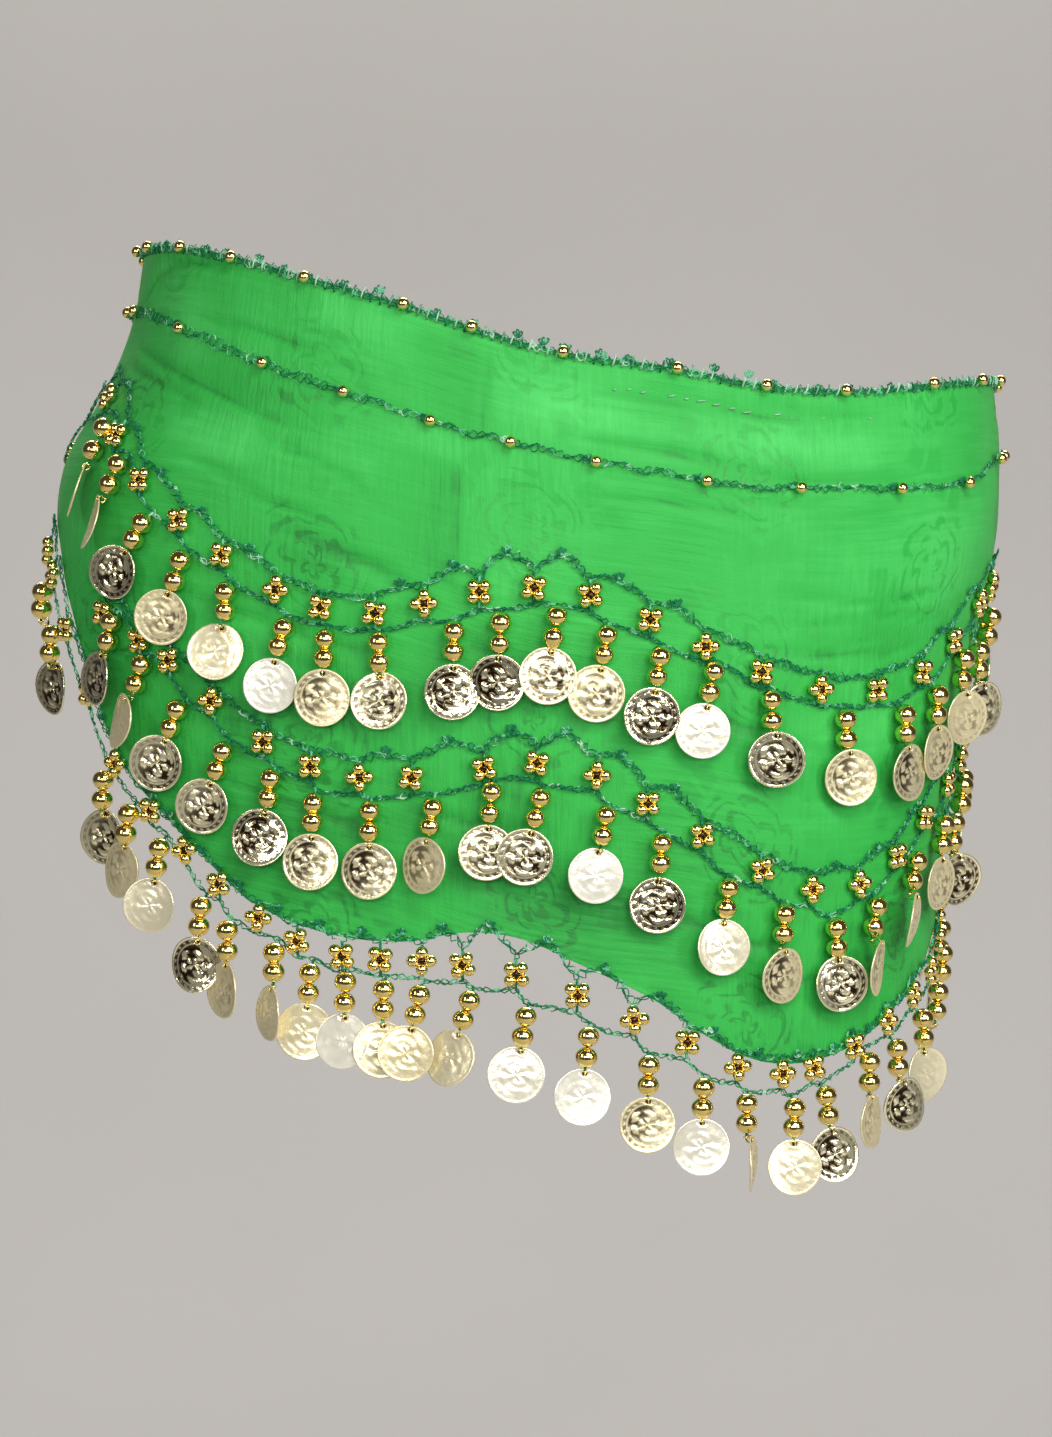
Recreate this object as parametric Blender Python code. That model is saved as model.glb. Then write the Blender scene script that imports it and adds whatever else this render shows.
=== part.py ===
"""Belly dance hip scarf, worn round the hips and tied in a plain knot at the back.

Metres, +Z up, front towards -Y, right-hand side of the picture towards +X. The origin is the middle of
the hollow, level with the part of the hips that holds the scarf up. Every piece is worked out from one
form: the hips' sections, the lines drawn on them by the scarf's edges and rows, and a few soft folds.
"""
from math import cos, exp, pi, radians, sin

import bmesh
import bpy
from mathutils import Vector

MM = 0.001

# Form that the cloth is wrapped round, in mm: height, then reach to the left, right, front and back.
SECTIONS = (
    (-260, 154, 132, 115, 118),
    (-172, 162, 136.5, 117, 122),
    (-102, 168, 145, 118, 126),
    (-60, 170, 151, 118, 128),
    (-21, 169, 159, 117, 128),
    (4, 165, 160, 116, 126),
    (30, 150, 158, 114, 122),
    (49, 142, 155, 112, 118),
    (77, 137, 152, 108, 112),
    (100, 134, 150, 106, 108),
)
ROUNDNESS = 2.3

# Lines on the form. The angle is in degrees from the front, positive to the right. The rest is in mm.
# angle, height of the top edge
TOP_EDGE = (
    (-180, 21), (-169, 25), (-158, 35), (-145, 46), (-125, 60), (-110, 68), (-95, 74), (-80, 76.5), (-65, 77),
    (-52, 73), (-39, 66), (-23, 57), (-11, 49), (4, 41), (22, 36), (36, 30), (50, 28.5), (65, 31),
    (80, 31.5), (95, 29), (105, 25), (120, 18), (135, 14), (150, 14), (167, 18), (180, 21),
)
# angle, distance below the top edge
BEADED_CHAIN = (
    (-180, 20), (-150, 22), (-110, 22), (-78, 22), (-60, 27.5), (-45, 32), (-18, 35.5), (0, 34),
    (26, 36), (45, 33), (67, 34.5), (80, 27), (110, 24), (150, 22), (180, 20),
)
# angle, distance of the bead flowers below the top edge
ROW_1 = (
    (-114, 66), (-100, 68), (-88, 61), (-76, 52), (-68, 62), (-61, 76), (-54, 88.5), (-48, 97), (-40, 104.5),
    (-33, 107), (-26, 104.5), (-18, 96), (-10, 87), (-1, 80.5), (8, 79.5), (17, 85), (26, 91.5), (34, 96),
    (44, 100.5), (53, 101), (62, 97), (69, 88), (76, 76), (86, 70), (98, 68), (110, 63), (122, 57), (134, 52),
)
ROW_2 = (
    (-68, 133), (-60, 138), (-54, 141), (-48, 148), (-41, 157), (-34, 161), (-27, 160), (-20, 155.5), (-9, 145),
    (0, 138.5), (9, 139), (17, 146.5), (26, 155), (35, 162.5), (44, 168), (52, 166.5), (60, 158), (66, 147),
    (74, 137), (82, 130), (90, 127), (100, 122),
)
ROW_3 = (
    (-90, 95), (-84, 104), (-79, 112), (-74, 130), (-69, 151), (-64, 173), (-58, 189), (-52, 202), (-47, 210.5),
    (-42, 217), (-37, 221), (-30, 222), (-22, 218), (-13, 213), (-4, 211), (6, 213.5), (15, 219.5), (23, 224.5),
    (32, 230), (39, 230.5), (45, 228), (53, 221.5), (61, 215), (70, 208), (77, 202), (83, 194), (90, 184),
    (98, 173), (106, 157), (114, 137), (122, 117),
)
HEM = (
    (-180, 37), (-170, 41), (-158, 53), (-145, 64), (-125, 72), (-108, 76), (-96, 81), (-88, 88),
    (-81, 97), (-75, 118), (-69, 148), (-64, 172), (-58, 187), (-52, 199), (-44, 212), (-33, 216),
    (-22, 212), (-12, 202), (-3, 199), (6, 203), (18, 212), (26, 221), (36, 227), (46, 226),
    (57, 219), (68, 208), (75, 199), (82, 189), (90, 179), (98, 168), (106, 152), (114, 132),
    (122, 112), (130, 94), (142, 76), (156, 60), (169, 42), (180, 37),
)

# Soft folds pressed into the cloth: from angle and distance below the top edge, to angle and distance,
# how deep in mm and half how wide.
FOLDS = (
    (-84, 40, -34, 50, 1.6, 13),
    (-26, 54, 30, 60, 1.2, 14),
    (16, 15, 62, 10, 1.2, 12),
    (34, 30, 60, 30, -1.2, 12),
    (30, 112, 66, 116, 1.0, 14),
    (-52, 120, -12, 116, 1.0, 14),
    (-20, 176, 34, 190, 1.0, 15),
    (84, 36, 128, 30, 1.4, 13),
    (92, 84, 124, 60, 1.4, 14),
    (-124, 34, -92, 30, 1.4, 13),
    (122, 26, 172, 18, 1.4, 12),
    (-172, 18, -126, 30, 1.4, 12),
)

# Thickness of the cloth, and how far the crochet stands off its face
WALL = 1.2
CLEAR = 0.75
# Angle from the front to each end of the wrap, where it goes into the knot
WRAP_END = 170.15
COLUMNS = 72
LEVELS = 14

# Crochet chains, in mm
CHAIN_HALF_HEIGHT = 0.8
CHAIN_THICK = 1.4
EDGING_HALF_HEIGHT = 1.4
EDGING_RISE = 1.6
CHAIN_STATIONS = 68
CHAIN_SHORT_OF_END = 1.5

# A row of coins, in mm above or below the middles of its bead flowers
FLOWER_TOP = 5.7
FLOWER_HALF_WIDTH = 4.4
FLOWER_THICK = 2.6
LOWER_CHAIN = 5.6
LOWER_SAG = 1.4
JUNCTION_HALF = 0.9
# One coin drop: distance below the lower chain, half width, inner and outer distance from the cloth
DROP_SHAPE = (
    (4.6, 3.3, 0.8, 7.0),
    (8.3, 1.1, 3.0, 4.8),
    (11.8, 3.3, 0.8, 7.0),
    (15.6, 4.1, 3.6, 4.8),
    (21.4, 10.0, 3.6, 4.8),
    (28.6, 10.0, 3.6, 4.8),
    (34.6, 4.1, 3.6, 4.8),
)
# Lean of the drops: angle round the form, lean in degrees with the lower end to the left
LEAN = ((-120, 12), (-90, 22), (-70, 20), (-45, 13), (-20, 7), (10, 5), (40, 3), (70, 0), (140, 0))

# Height of the upper chain's peaks above the flowers: angle, height in mm
PEAKS_1 = (
    (-114, 9), (-70, 9), (-56, 8), (-44, 7), (-34, 5), (-26, 6), (-16, 9), (-4, 11.5), (4, 11), (12, 8.5),
    (22, 8), (30, 6.5), (40, 5), (50, 4.5), (58, 6), (68, 8.5), (134, 9),
)
PEAKS_2 = ((-68, 9), (-52, 5), (-38, 5), (-24, 8), (-8, 10.5), (12, 10), (26, 8), (36, 5), (48, 7), (100, 8))

# Rows: name, line, peaks, angle of the flower nearest the front, pitch of the flowers in mm to its left and
# right, flowers to its left and right. The hem row's peaks lie on the hem.
ROWS = (
    ("coin_row_1", ROW_1, PEAKS_1, -1.1, 18.2, 19.4, 15, 16),
    ("coin_row_2", ROW_2, PEAKS_2, -0.6, 18.6, 19.0, 8, 12),
    ("coin_row_3", ROW_3, None, -4.0, 15.6, 18.2, 13, 16),
)
# How far the hem row's peaks lap over the cloth, and the step in degrees that spaces the flowers
HEM_LAP = 2.2
WALK_STEP = 0.25

# Knot at the back, in mm from its middle
KNOT_HALF_WIDTH = 21.5
KNOT_HALF_HEIGHT = 20
KNOT_OUT = 20
KNOT_IN = 3
KNOT_SQUARENESS = 2.4
KNOT_TURN_WIDTH = 0.42
KNOT_TURN_SLANT = 0.35
KNOT_TURN_RISE = 2.4
KNOT_RINGS = 12
KNOT_SIDES = 18

# Tails that hang from the knot, in mm
TAIL_LENGTH = 118
TAIL_TOP_WIDTH = 17
TAIL_END_WIDTH = 44
TAIL_START = 11
TAIL_SPREAD = 15
TAIL_STAND_OFF = 7
TAIL_PLEATS = 2
TAIL_PLEAT_DEPTH = 2.6
TAIL_PLEAT_DRIFT = 2.0
TAIL_WIDENING = 0.7
TAIL_ACROSS = 10
TAIL_DOWN = 9

CLOTH_GREEN = (0.05, 0.52, 0.09, 1.0)
YARN_TEAL = (0.01, 0.16, 0.08, 1.0)
GOLD = (0.83, 0.62, 0.22, 1.0)


def clear_scene():
    for thing in list(bpy.data.objects):
        bpy.data.objects.remove(thing, do_unlink=True)


def plain_material(name, colour, roughness, metallic):
    material = bpy.data.materials.new(name)
    material.use_nodes = True
    shader = material.node_tree.nodes["Principled BSDF"]
    shader.inputs["Base Color"].default_value = colour
    shader.inputs["Roughness"].default_value = roughness
    shader.inputs["Metallic"].default_value = metallic
    return material


def read_table(rows, at, column=1):
    """Value of a column at a place along the table's first column, on one smooth curve."""
    last = len(rows) - 1
    if at <= rows[0][0]:
        return rows[0][column]
    if at >= rows[last][0]:
        return rows[last][column]
    i = 0
    while rows[i + 1][0] < at:
        i += 1

    def slope(k):
        low = max(k - 1, 0)
        high = min(k + 1, last)
        return (rows[high][column] - rows[low][column]) / (rows[high][0] - rows[low][0])

    span = rows[i + 1][0] - rows[i][0]
    t = (at - rows[i][0]) / span
    start = rows[i][column]
    end = rows[i + 1][column]
    return (
        start * (1 + 2 * t) * (1 - t) ** 2
        + end * t * t * (3 - 2 * t)
        + slope(i) * span * t * (1 - t) ** 2
        - slope(i + 1) * span * t * t * (1 - t)
    )


def top_at(angle):
    return read_table(TOP_EDGE, angle)


def fold_depth(angle, drop):
    """How far the folds pull the cloth in, in mm, at an angle and a distance below the top edge."""
    depth = 0.0
    for from_angle, from_drop, to_angle, to_drop, deep, half_width in FOLDS:
        t = (angle - from_angle) / (to_angle - from_angle)
        if t <= 0 or t >= 1:
            continue
        away = (drop - from_drop - t * (to_drop - from_drop)) / half_width
        depth += deep * sin(pi * t) * exp(-away * away)
    return depth


def form(angle, height):
    """Point of the cloth's outer face, in mm, at an angle round the form and a height."""
    turn = radians(angle)
    across = sin(turn)
    forward = cos(turn)
    side = read_table(SECTIONS, height, 2 if across > 0 else 1)
    depth = read_table(SECTIONS, height, 3 if forward > 0 else 4)
    power = (abs(across) / side) ** ROUNDNESS + (abs(forward) / depth) ** ROUNDNESS
    reach = power ** (-1 / ROUNDNESS) - fold_depth(angle, top_at(angle) - height)
    return Vector((reach * across, -reach * forward, height))


def out_from(angle, height):
    """Direction straight out of the cloth at a point of the form."""
    along = form(angle + 0.5, height) - form(angle - 0.5, height)
    up = form(angle, height + 1) - form(angle, height - 1)
    return along.cross(up).normalized()


def on_cloth(angle, height, out, along=0.0):
    """Point moved out of the cloth's face, and sideways along it, all in mm."""
    if along:
        step = (form(angle + 0.5, height) - form(angle - 0.5, height)).length
        angle += along / step
    return form(angle, height) + out_from(angle, height) * out


def make_solid(name, points, faces, material):
    mesh = bpy.data.meshes.new(name)
    mesh.from_pydata([p * MM for p in points], [], faces)
    shape = bmesh.new()
    shape.from_mesh(mesh)
    bmesh.ops.recalc_face_normals(shape, faces=shape.faces)
    shape.to_mesh(mesh)
    shape.free()
    mesh.materials.append(material)
    solid = bpy.data.objects.new(name, mesh)
    bpy.context.scene.collection.objects.link(solid)
    return solid


def grid_wall(outer, inner):
    """Points and faces of a wall between two grids of points, closed along its four edges."""
    count_u = len(outer)
    count_v = len(outer[0])
    points = [p for line in outer for p in line] + [p for line in inner for p in line]
    back = count_u * count_v

    def front(u, v):
        return u * count_v + v

    faces = []
    for u in range(count_u - 1):
        for v in range(count_v - 1):
            a, b, c, d = front(u, v), front(u + 1, v), front(u + 1, v + 1), front(u, v + 1)
            faces.append((a, b, c, d))
            faces.append((a + back, d + back, c + back, b + back))
    for u in range(count_u - 1):
        for v in (0, count_v - 1):
            a, b = front(u, v), front(u + 1, v)
            faces.append((a, b, b + back, a + back))
    for v in range(count_v - 1):
        for u in (0, count_u - 1):
            a, b = front(u, v), front(u, v + 1)
            faces.append((a, b, b + back, a + back))
    return points, faces


def make_wrap(material):
    """The length of chiffon that goes round the hips, open at the top, the hem and the knot."""
    outer = []
    inner = []
    for u in range(COLUMNS + 1):
        angle = WRAP_END * (2 * u / COLUMNS - 1)
        width = read_table(HEM, angle)
        heights = [top_at(angle) - width * v / LEVELS for v in range(LEVELS + 1)]
        outer.append([on_cloth(angle, height, 0) for height in heights])
        inner.append([on_cloth(angle, height, -WALL) for height in heights])
    make_solid("scarf_wrap", *grid_wall(outer, inner), material)


def chain_section(angle, height, half_height, thick, along=0.0):
    """Four corners of a chain: upper inner, upper outer, lower outer, lower inner."""
    return [
        on_cloth(angle, height + half_height, CLEAR, along),
        on_cloth(angle, height + half_height, CLEAR + thick, along),
        on_cloth(angle, height - half_height, CLEAR + thick, along),
        on_cloth(angle, height - half_height, CLEAR, along),
    ]


def make_chain(name, height_at, half_height, material):
    """A crochet chain sewn on all the way along the wrap."""
    points = []
    faces = []
    for k in range(CHAIN_STATIONS + 1):
        angle = (WRAP_END - CHAIN_SHORT_OF_END) * (2 * k / CHAIN_STATIONS - 1)
        points += chain_section(angle, height_at(angle), half_height, CHAIN_THICK)
        if k:
            at = 4 * (k - 1)
            for c in range(4):
                d = (c + 1) % 4
                faces.append((at + c, at + d, at + d + 4, at + c + 4))
    end = 4 * CHAIN_STATIONS
    faces += [(0, 1, 2, 3), (end, end + 1, end + 2, end + 3)]
    make_solid(name, points, faces, material)


def stepped_angles(line, anchor, left_pitch, right_pitch, to_left, to_right):
    """Angles a pitch apart along a line on the form, measured level over the cloth from an anchor."""

    def walk(way, pitch, count):
        found = []
        angle = anchor
        while len(found) < count:
            run = 0.0
            while run < pitch:
                height = top_at(angle) - read_table(line, angle)
                step = (form(angle + way * WALK_STEP, height) - form(angle, height)).length
                run += step
                angle += way * WALK_STEP
            angle -= way * WALK_STEP * (run - pitch) / step
            found.append(angle)
        return found

    return walk(-1, left_pitch, to_left)[::-1] + [anchor] + walk(1, right_pitch, to_right)


class Lattice:
    """Points and faces of one row, joined section to section with four corners each."""

    def __init__(self):
        self.points = []
        self.faces = []

    def add(self, corners):
        first = len(self.points)
        self.points += corners
        return [first, first + 1, first + 2, first + 3]

    def join(self, a, b, leave_out=None):
        for c in range(4):
            if c != leave_out:
                d = (c + 1) % 4
                self.faces.append((a[c], a[d], b[d], b[c]))

    def cap(self, a):
        self.faces.append(tuple(a))


# Sides of a chain section, counted as its corners are
TOP_SIDE = 0
BOTTOM_SIDE = 2


def under(left, right, side):
    """Four corners of the opening between two sections, on their top or bottom side."""
    near, far = (0, 1) if side == TOP_SIDE else (3, 2)
    return [left[near], left[far], right[far], right[near]]


def band_section(angle, height, half_width, inside, outside, along=0.0):
    """Four corners of a hanging piece: left inner, left outer, right outer, right inner."""
    return [
        on_cloth(angle, height, inside, along - half_width),
        on_cloth(angle, height, outside, along - half_width),
        on_cloth(angle, height, outside, along + half_width),
        on_cloth(angle, height, inside, along + half_width),
    ]


def hang_drop(lattice, root, angle, height):
    """Two large beads and a coin below the lower chain, leaning as they lie on the hip."""
    lean = radians(read_table(LEAN, angle))
    previous = root
    for distance, half_width, inside, outside in DROP_SHAPE:
        corners = band_section(
            angle, height - distance * cos(lean), half_width, inside, outside, -distance * sin(lean)
        )
        section = lattice.add(corners)
        lattice.join(previous, section)
        previous = section
    lattice.cap(previous)


def make_row(name, line, peaks, anchor, pitches, counts, material):
    """Zigzag upper chain, bead flowers, lower chain and coin drops, as one open lattice."""
    flowers = stepped_angles(line, anchor, *pitches, *counts)
    lattice = Lattice()

    def middle(angle):
        return top_at(angle) - read_table(line, angle)

    def peak_at(angle):
        if peaks is None:
            return top_at(angle) - read_table(HEM, angle) + HEM_LAP
        return middle(angle) + read_table(peaks, angle)

    upper = None
    lower = None
    for n, angle in enumerate(flowers):
        dip = middle(angle) + FLOWER_TOP
        low = middle(angle) - LOWER_CHAIN
        dips = []
        lows = []
        for along in (-JUNCTION_HALF, JUNCTION_HALF):
            corners = chain_section(angle, dip, CHAIN_HALF_HEIGHT, CHAIN_THICK, along)
            dips.append(lattice.add(corners))
            corners = chain_section(angle, low, CHAIN_HALF_HEIGHT, CHAIN_THICK, along)
            lows.append(lattice.add(corners))
        if upper is None:
            lattice.cap(dips[0])
            lattice.cap(lows[0])
        else:
            lattice.join(upper, dips[0])
            lattice.join(lower, lows[0])
        lattice.join(dips[0], dips[1], BOTTOM_SIDE)
        lattice.join(lows[0], lows[1], TOP_SIDE)
        flower = lattice.add(
            band_section(angle, middle(angle), FLOWER_HALF_WIDTH, CLEAR, CLEAR + FLOWER_THICK)
        )
        lattice.join(under(dips[0], dips[1], BOTTOM_SIDE), flower)
        lattice.join(flower, under(lows[0], lows[1], TOP_SIDE))
        if n == len(flowers) - 1:
            lattice.cap(dips[1])
            lattice.cap(lows[1])
            break
        between = (angle + flowers[n + 1]) / 2
        peak = lattice.add(chain_section(between, peak_at(between), CHAIN_HALF_HEIGHT, CHAIN_THICK))
        lattice.join(dips[1], peak)
        upper = peak
        root_height = middle(between) - LOWER_CHAIN - LOWER_SAG
        roots = []
        for along in (-JUNCTION_HALF, JUNCTION_HALF):
            corners = chain_section(between, root_height, CHAIN_HALF_HEIGHT, CHAIN_THICK, along)
            roots.append(lattice.add(corners))
        lattice.join(lows[1], roots[0])
        lattice.join(roots[0], roots[1], BOTTOM_SIDE)
        lower = roots[1]
        hang_drop(lattice, under(roots[0], roots[1], BOTTOM_SIDE), between, root_height)
    make_solid(name, lattice.points, lattice.faces, material)


def knot_middle():
    height = top_at(180) - read_table(HEM, 180) / 2
    return form(180, height)


def make_knot(material):
    """Plain knot: a rounded lump with one turn of cloth raised round it."""
    middle = knot_middle()
    points = []
    faces = []
    for ring in range(1, KNOT_RINGS):
        rise = pi * (ring / KNOT_RINGS - 0.5)
        for side in range(KNOT_SIDES):
            turn = 2 * pi * side / KNOT_SIDES
            x = cos(rise) * sin(turn)
            y = cos(rise) * cos(turn)
            z = sin(rise)
            power = abs(x) ** KNOT_SQUARENESS + abs(y) ** KNOT_SQUARENESS + abs(z) ** KNOT_SQUARENESS
            reach = power ** (-1 / KNOT_SQUARENESS)
            band = (x - KNOT_TURN_SLANT * z) / KNOT_TURN_WIDTH
            raised = KNOT_TURN_RISE * exp(-(band ** 4)) if y > 0 else 0.0
            deep = KNOT_OUT if y > 0 else KNOT_IN
            points.append(
                middle
                + Vector((
                    reach * x * KNOT_HALF_WIDTH,
                    reach * y * deep + raised * max(y, 0),
                    reach * z * KNOT_HALF_HEIGHT,
                ))
            )
    bottom = len(points)
    points.append(middle - Vector((0, 0, KNOT_HALF_HEIGHT)))
    points.append(middle + Vector((0, 0, KNOT_HALF_HEIGHT)))
    for side in range(KNOT_SIDES):
        after = (side + 1) % KNOT_SIDES
        faces.append((bottom, after, side))
        last = (KNOT_RINGS - 2) * KNOT_SIDES
        faces.append((bottom + 1, last + side, last + after))
        for ring in range(KNOT_RINGS - 2):
            a = ring * KNOT_SIDES
            b = a + KNOT_SIDES
            faces.append((a + side, a + after, b + after, b + side))
    make_solid("knot", points, faces, material)


def make_tail(name, hand, material):
    """One end of the scarf, hanging pleated below the knot. Hand is -1 on the left, 1 on the right."""
    middle = knot_middle()
    start = middle.z - KNOT_HALF_HEIGHT
    outer = []
    inner = []
    for v in range(TAIL_DOWN + 1):
        t = v / TAIL_DOWN
        height = start - TAIL_LENGTH * t
        centre = hand * (TAIL_START + TAIL_SPREAD * t)
        width = TAIL_TOP_WIDTH + (TAIL_END_WIDTH - TAIL_TOP_WIDTH) * t ** TAIL_WIDENING
        rest = form(180, height).y + TAIL_STAND_OFF
        outer.append([])
        inner.append([])
        for u in range(TAIL_ACROSS + 1):
            share = u / TAIL_ACROSS
            wave = TAIL_PLEAT_DEPTH * sin(2 * pi * TAIL_PLEATS * share + TAIL_PLEAT_DRIFT * t)
            x = centre + width * (share - 0.5)
            y = rest + wave
            outer[-1].append(Vector((x, y, height)))
            inner[-1].append(Vector((x, y - WALL, height)))
    make_solid(name, *grid_wall(outer, inner), material)


def main():
    clear_scene()
    cloth = plain_material("green_chiffon", CLOTH_GREEN, 0.55, 0.0)
    yarn = plain_material("teal_crochet", YARN_TEAL, 0.8, 0.0)
    gold = plain_material("gold_coins", GOLD, 0.25, 1.0)
    make_wrap(cloth)
    make_chain("top_edging", lambda a: top_at(a) + EDGING_RISE - EDGING_HALF_HEIGHT, EDGING_HALF_HEIGHT, yarn)
    make_chain("beaded_chain", lambda a: top_at(a) - read_table(BEADED_CHAIN, a), CHAIN_HALF_HEIGHT, yarn)
    for name, line, peaks, anchor, left_pitch, right_pitch, to_left, to_right in ROWS:
        make_row(name, line, peaks, anchor, (left_pitch, right_pitch), (to_left, to_right), gold)
    make_knot(cloth)
    make_tail("tail_left", -1, cloth)
    make_tail("tail_right", 1, cloth)


main()
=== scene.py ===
"""Looks of the belly dance hip scarf: green chiffon, crochet chains, bead flowers and three rows of coins.

Every piece is worked out from the same form as the solids: sections of the hips, lines drawn on them and
creases pressed into them. Lengths are in mm until a mesh is made, and angles are degrees from the front.
"""
import math

import bpy
import numpy as np
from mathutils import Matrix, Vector


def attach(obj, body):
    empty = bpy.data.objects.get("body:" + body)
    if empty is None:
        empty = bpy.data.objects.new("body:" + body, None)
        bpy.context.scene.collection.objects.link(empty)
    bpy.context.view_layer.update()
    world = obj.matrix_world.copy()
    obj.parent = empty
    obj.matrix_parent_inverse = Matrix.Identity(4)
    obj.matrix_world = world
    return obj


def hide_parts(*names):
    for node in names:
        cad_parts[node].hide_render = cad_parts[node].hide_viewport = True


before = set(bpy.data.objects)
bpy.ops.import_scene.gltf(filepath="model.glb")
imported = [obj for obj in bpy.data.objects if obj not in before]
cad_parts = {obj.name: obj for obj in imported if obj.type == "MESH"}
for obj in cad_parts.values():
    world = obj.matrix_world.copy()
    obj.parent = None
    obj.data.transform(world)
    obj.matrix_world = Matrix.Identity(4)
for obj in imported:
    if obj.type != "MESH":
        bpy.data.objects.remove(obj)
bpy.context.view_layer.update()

MM = 0.001

# Form that the cloth is wrapped round: height, then reach to the left, right, front and back
SECTIONS = (
    (-260, 154, 132, 115, 118),
    (-172, 162, 136.5, 117, 122),
    (-102, 168, 145, 118, 126),
    (-60, 170, 151, 118, 128),
    (-21, 169, 159, 117, 128),
    (4, 165, 160, 116, 126),
    (30, 150, 158, 114, 122),
    (49, 142, 155, 112, 118),
    (77, 137, 152, 108, 112),
    (100, 134, 150, 106, 108),
)
ROUNDNESS = 2.3
# How far apart, in degrees and mm, the points lie from which the cloth's direction is worked out
NEAR_ANGLE = 1.0
NEAR_HEIGHT = 2.5

# Lines on the form: angle, then height of the top edge
TOP_EDGE = (
    (-180, 21), (-169, 25), (-158, 35), (-145, 46), (-125, 60), (-110, 68), (-95, 74), (-80, 76.5), (-65, 77),
    (-52, 73), (-39, 66), (-23, 57), (-11, 49), (4, 41), (22, 36), (36, 30), (50, 28.5), (65, 31),
    (80, 31.5), (95, 29), (105, 25), (120, 18), (135, 14), (150, 14), (167, 18), (180, 21),
)
# Angle, distance below the top edge
BEADED_CHAIN = (
    (-180, 20), (-150, 22), (-110, 22), (-78, 22), (-60, 27.5), (-45, 32), (-18, 35.5), (0, 34),
    (26, 36), (45, 33), (67, 34.5), (80, 27), (110, 24), (150, 22), (180, 20),
)
ROW_1 = (
    (-114, 66), (-100, 68), (-88, 61), (-76, 52), (-68, 62), (-61, 76), (-54, 88.5), (-48, 97), (-40, 104.5),
    (-33, 107), (-26, 104.5), (-18, 96), (-10, 87), (-1, 80.5), (8, 79.5), (17, 85), (26, 91.5), (34, 96),
    (44, 100.5), (53, 101), (62, 97), (69, 88), (76, 76), (86, 70), (98, 68), (110, 63), (122, 57), (134, 52),
)
ROW_2 = (
    (-68, 121), (-60, 131), (-54, 137), (-48, 148), (-41, 157), (-34, 161), (-27, 160), (-20, 155.5),
    (-9, 145), (0, 138.5), (9, 139), (17, 146.5), (26, 155), (35, 162.5), (44, 168), (52, 166.5), (60, 158),
    (66, 147), (74, 137), (82, 130), (90, 127), (100, 122),
)
ROW_3 = (
    (-90, 95), (-84, 104), (-79, 112), (-74, 130), (-69, 151), (-64, 173), (-58, 189), (-52, 202),
    (-47, 210.5), (-42, 217), (-37, 221), (-30, 222), (-22, 218), (-13, 213), (-4, 211), (6, 213.5),
    (15, 219.5), (23, 224.5), (32, 230), (39, 230.5), (45, 228), (53, 221.5), (61, 215), (70, 208), (77, 202),
    (83, 194), (90, 184), (98, 173), (106, 157), (114, 137), (122, 117),
)
HEM = (
    (-180, 37), (-170, 41), (-158, 53), (-145, 64), (-125, 72), (-108, 76), (-96, 81), (-88, 88),
    (-81, 97), (-75, 118), (-69, 148), (-64, 172), (-58, 187), (-52, 199), (-44, 212), (-33, 216),
    (-22, 212), (-12, 202), (-3, 199), (6, 203), (18, 212), (26, 221), (36, 227), (46, 226),
    (57, 219), (68, 208), (75, 199), (82, 189), (90, 179), (98, 168), (106, 152), (114, 132),
    (122, 112), (130, 94), (142, 76), (156, 60), (169, 42), (180, 37),
)

# Broad folds: from angle and distance below the top edge, to angle and distance, how deep and half how wide
FOLDS = (
    (-84, 40, -34, 50, 1.6, 13),
    (-26, 54, 30, 60, 1.2, 14),
    (16, 15, 62, 10, 1.2, 12),
    (34, 30, 60, 30, -1.2, 12),
    (30, 112, 66, 116, 1.0, 14),
    (-52, 120, -12, 116, 1.0, 14),
    (-20, 176, 34, 190, 1.0, 15),
    (84, 36, 128, 30, 1.4, 13),
    (92, 84, 124, 60, 1.4, 14),
    (-124, 34, -92, 30, 1.4, 13),
    (122, 26, 172, 18, 1.4, 12),
    (-172, 18, -126, 30, 1.4, 12),
)

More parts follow.
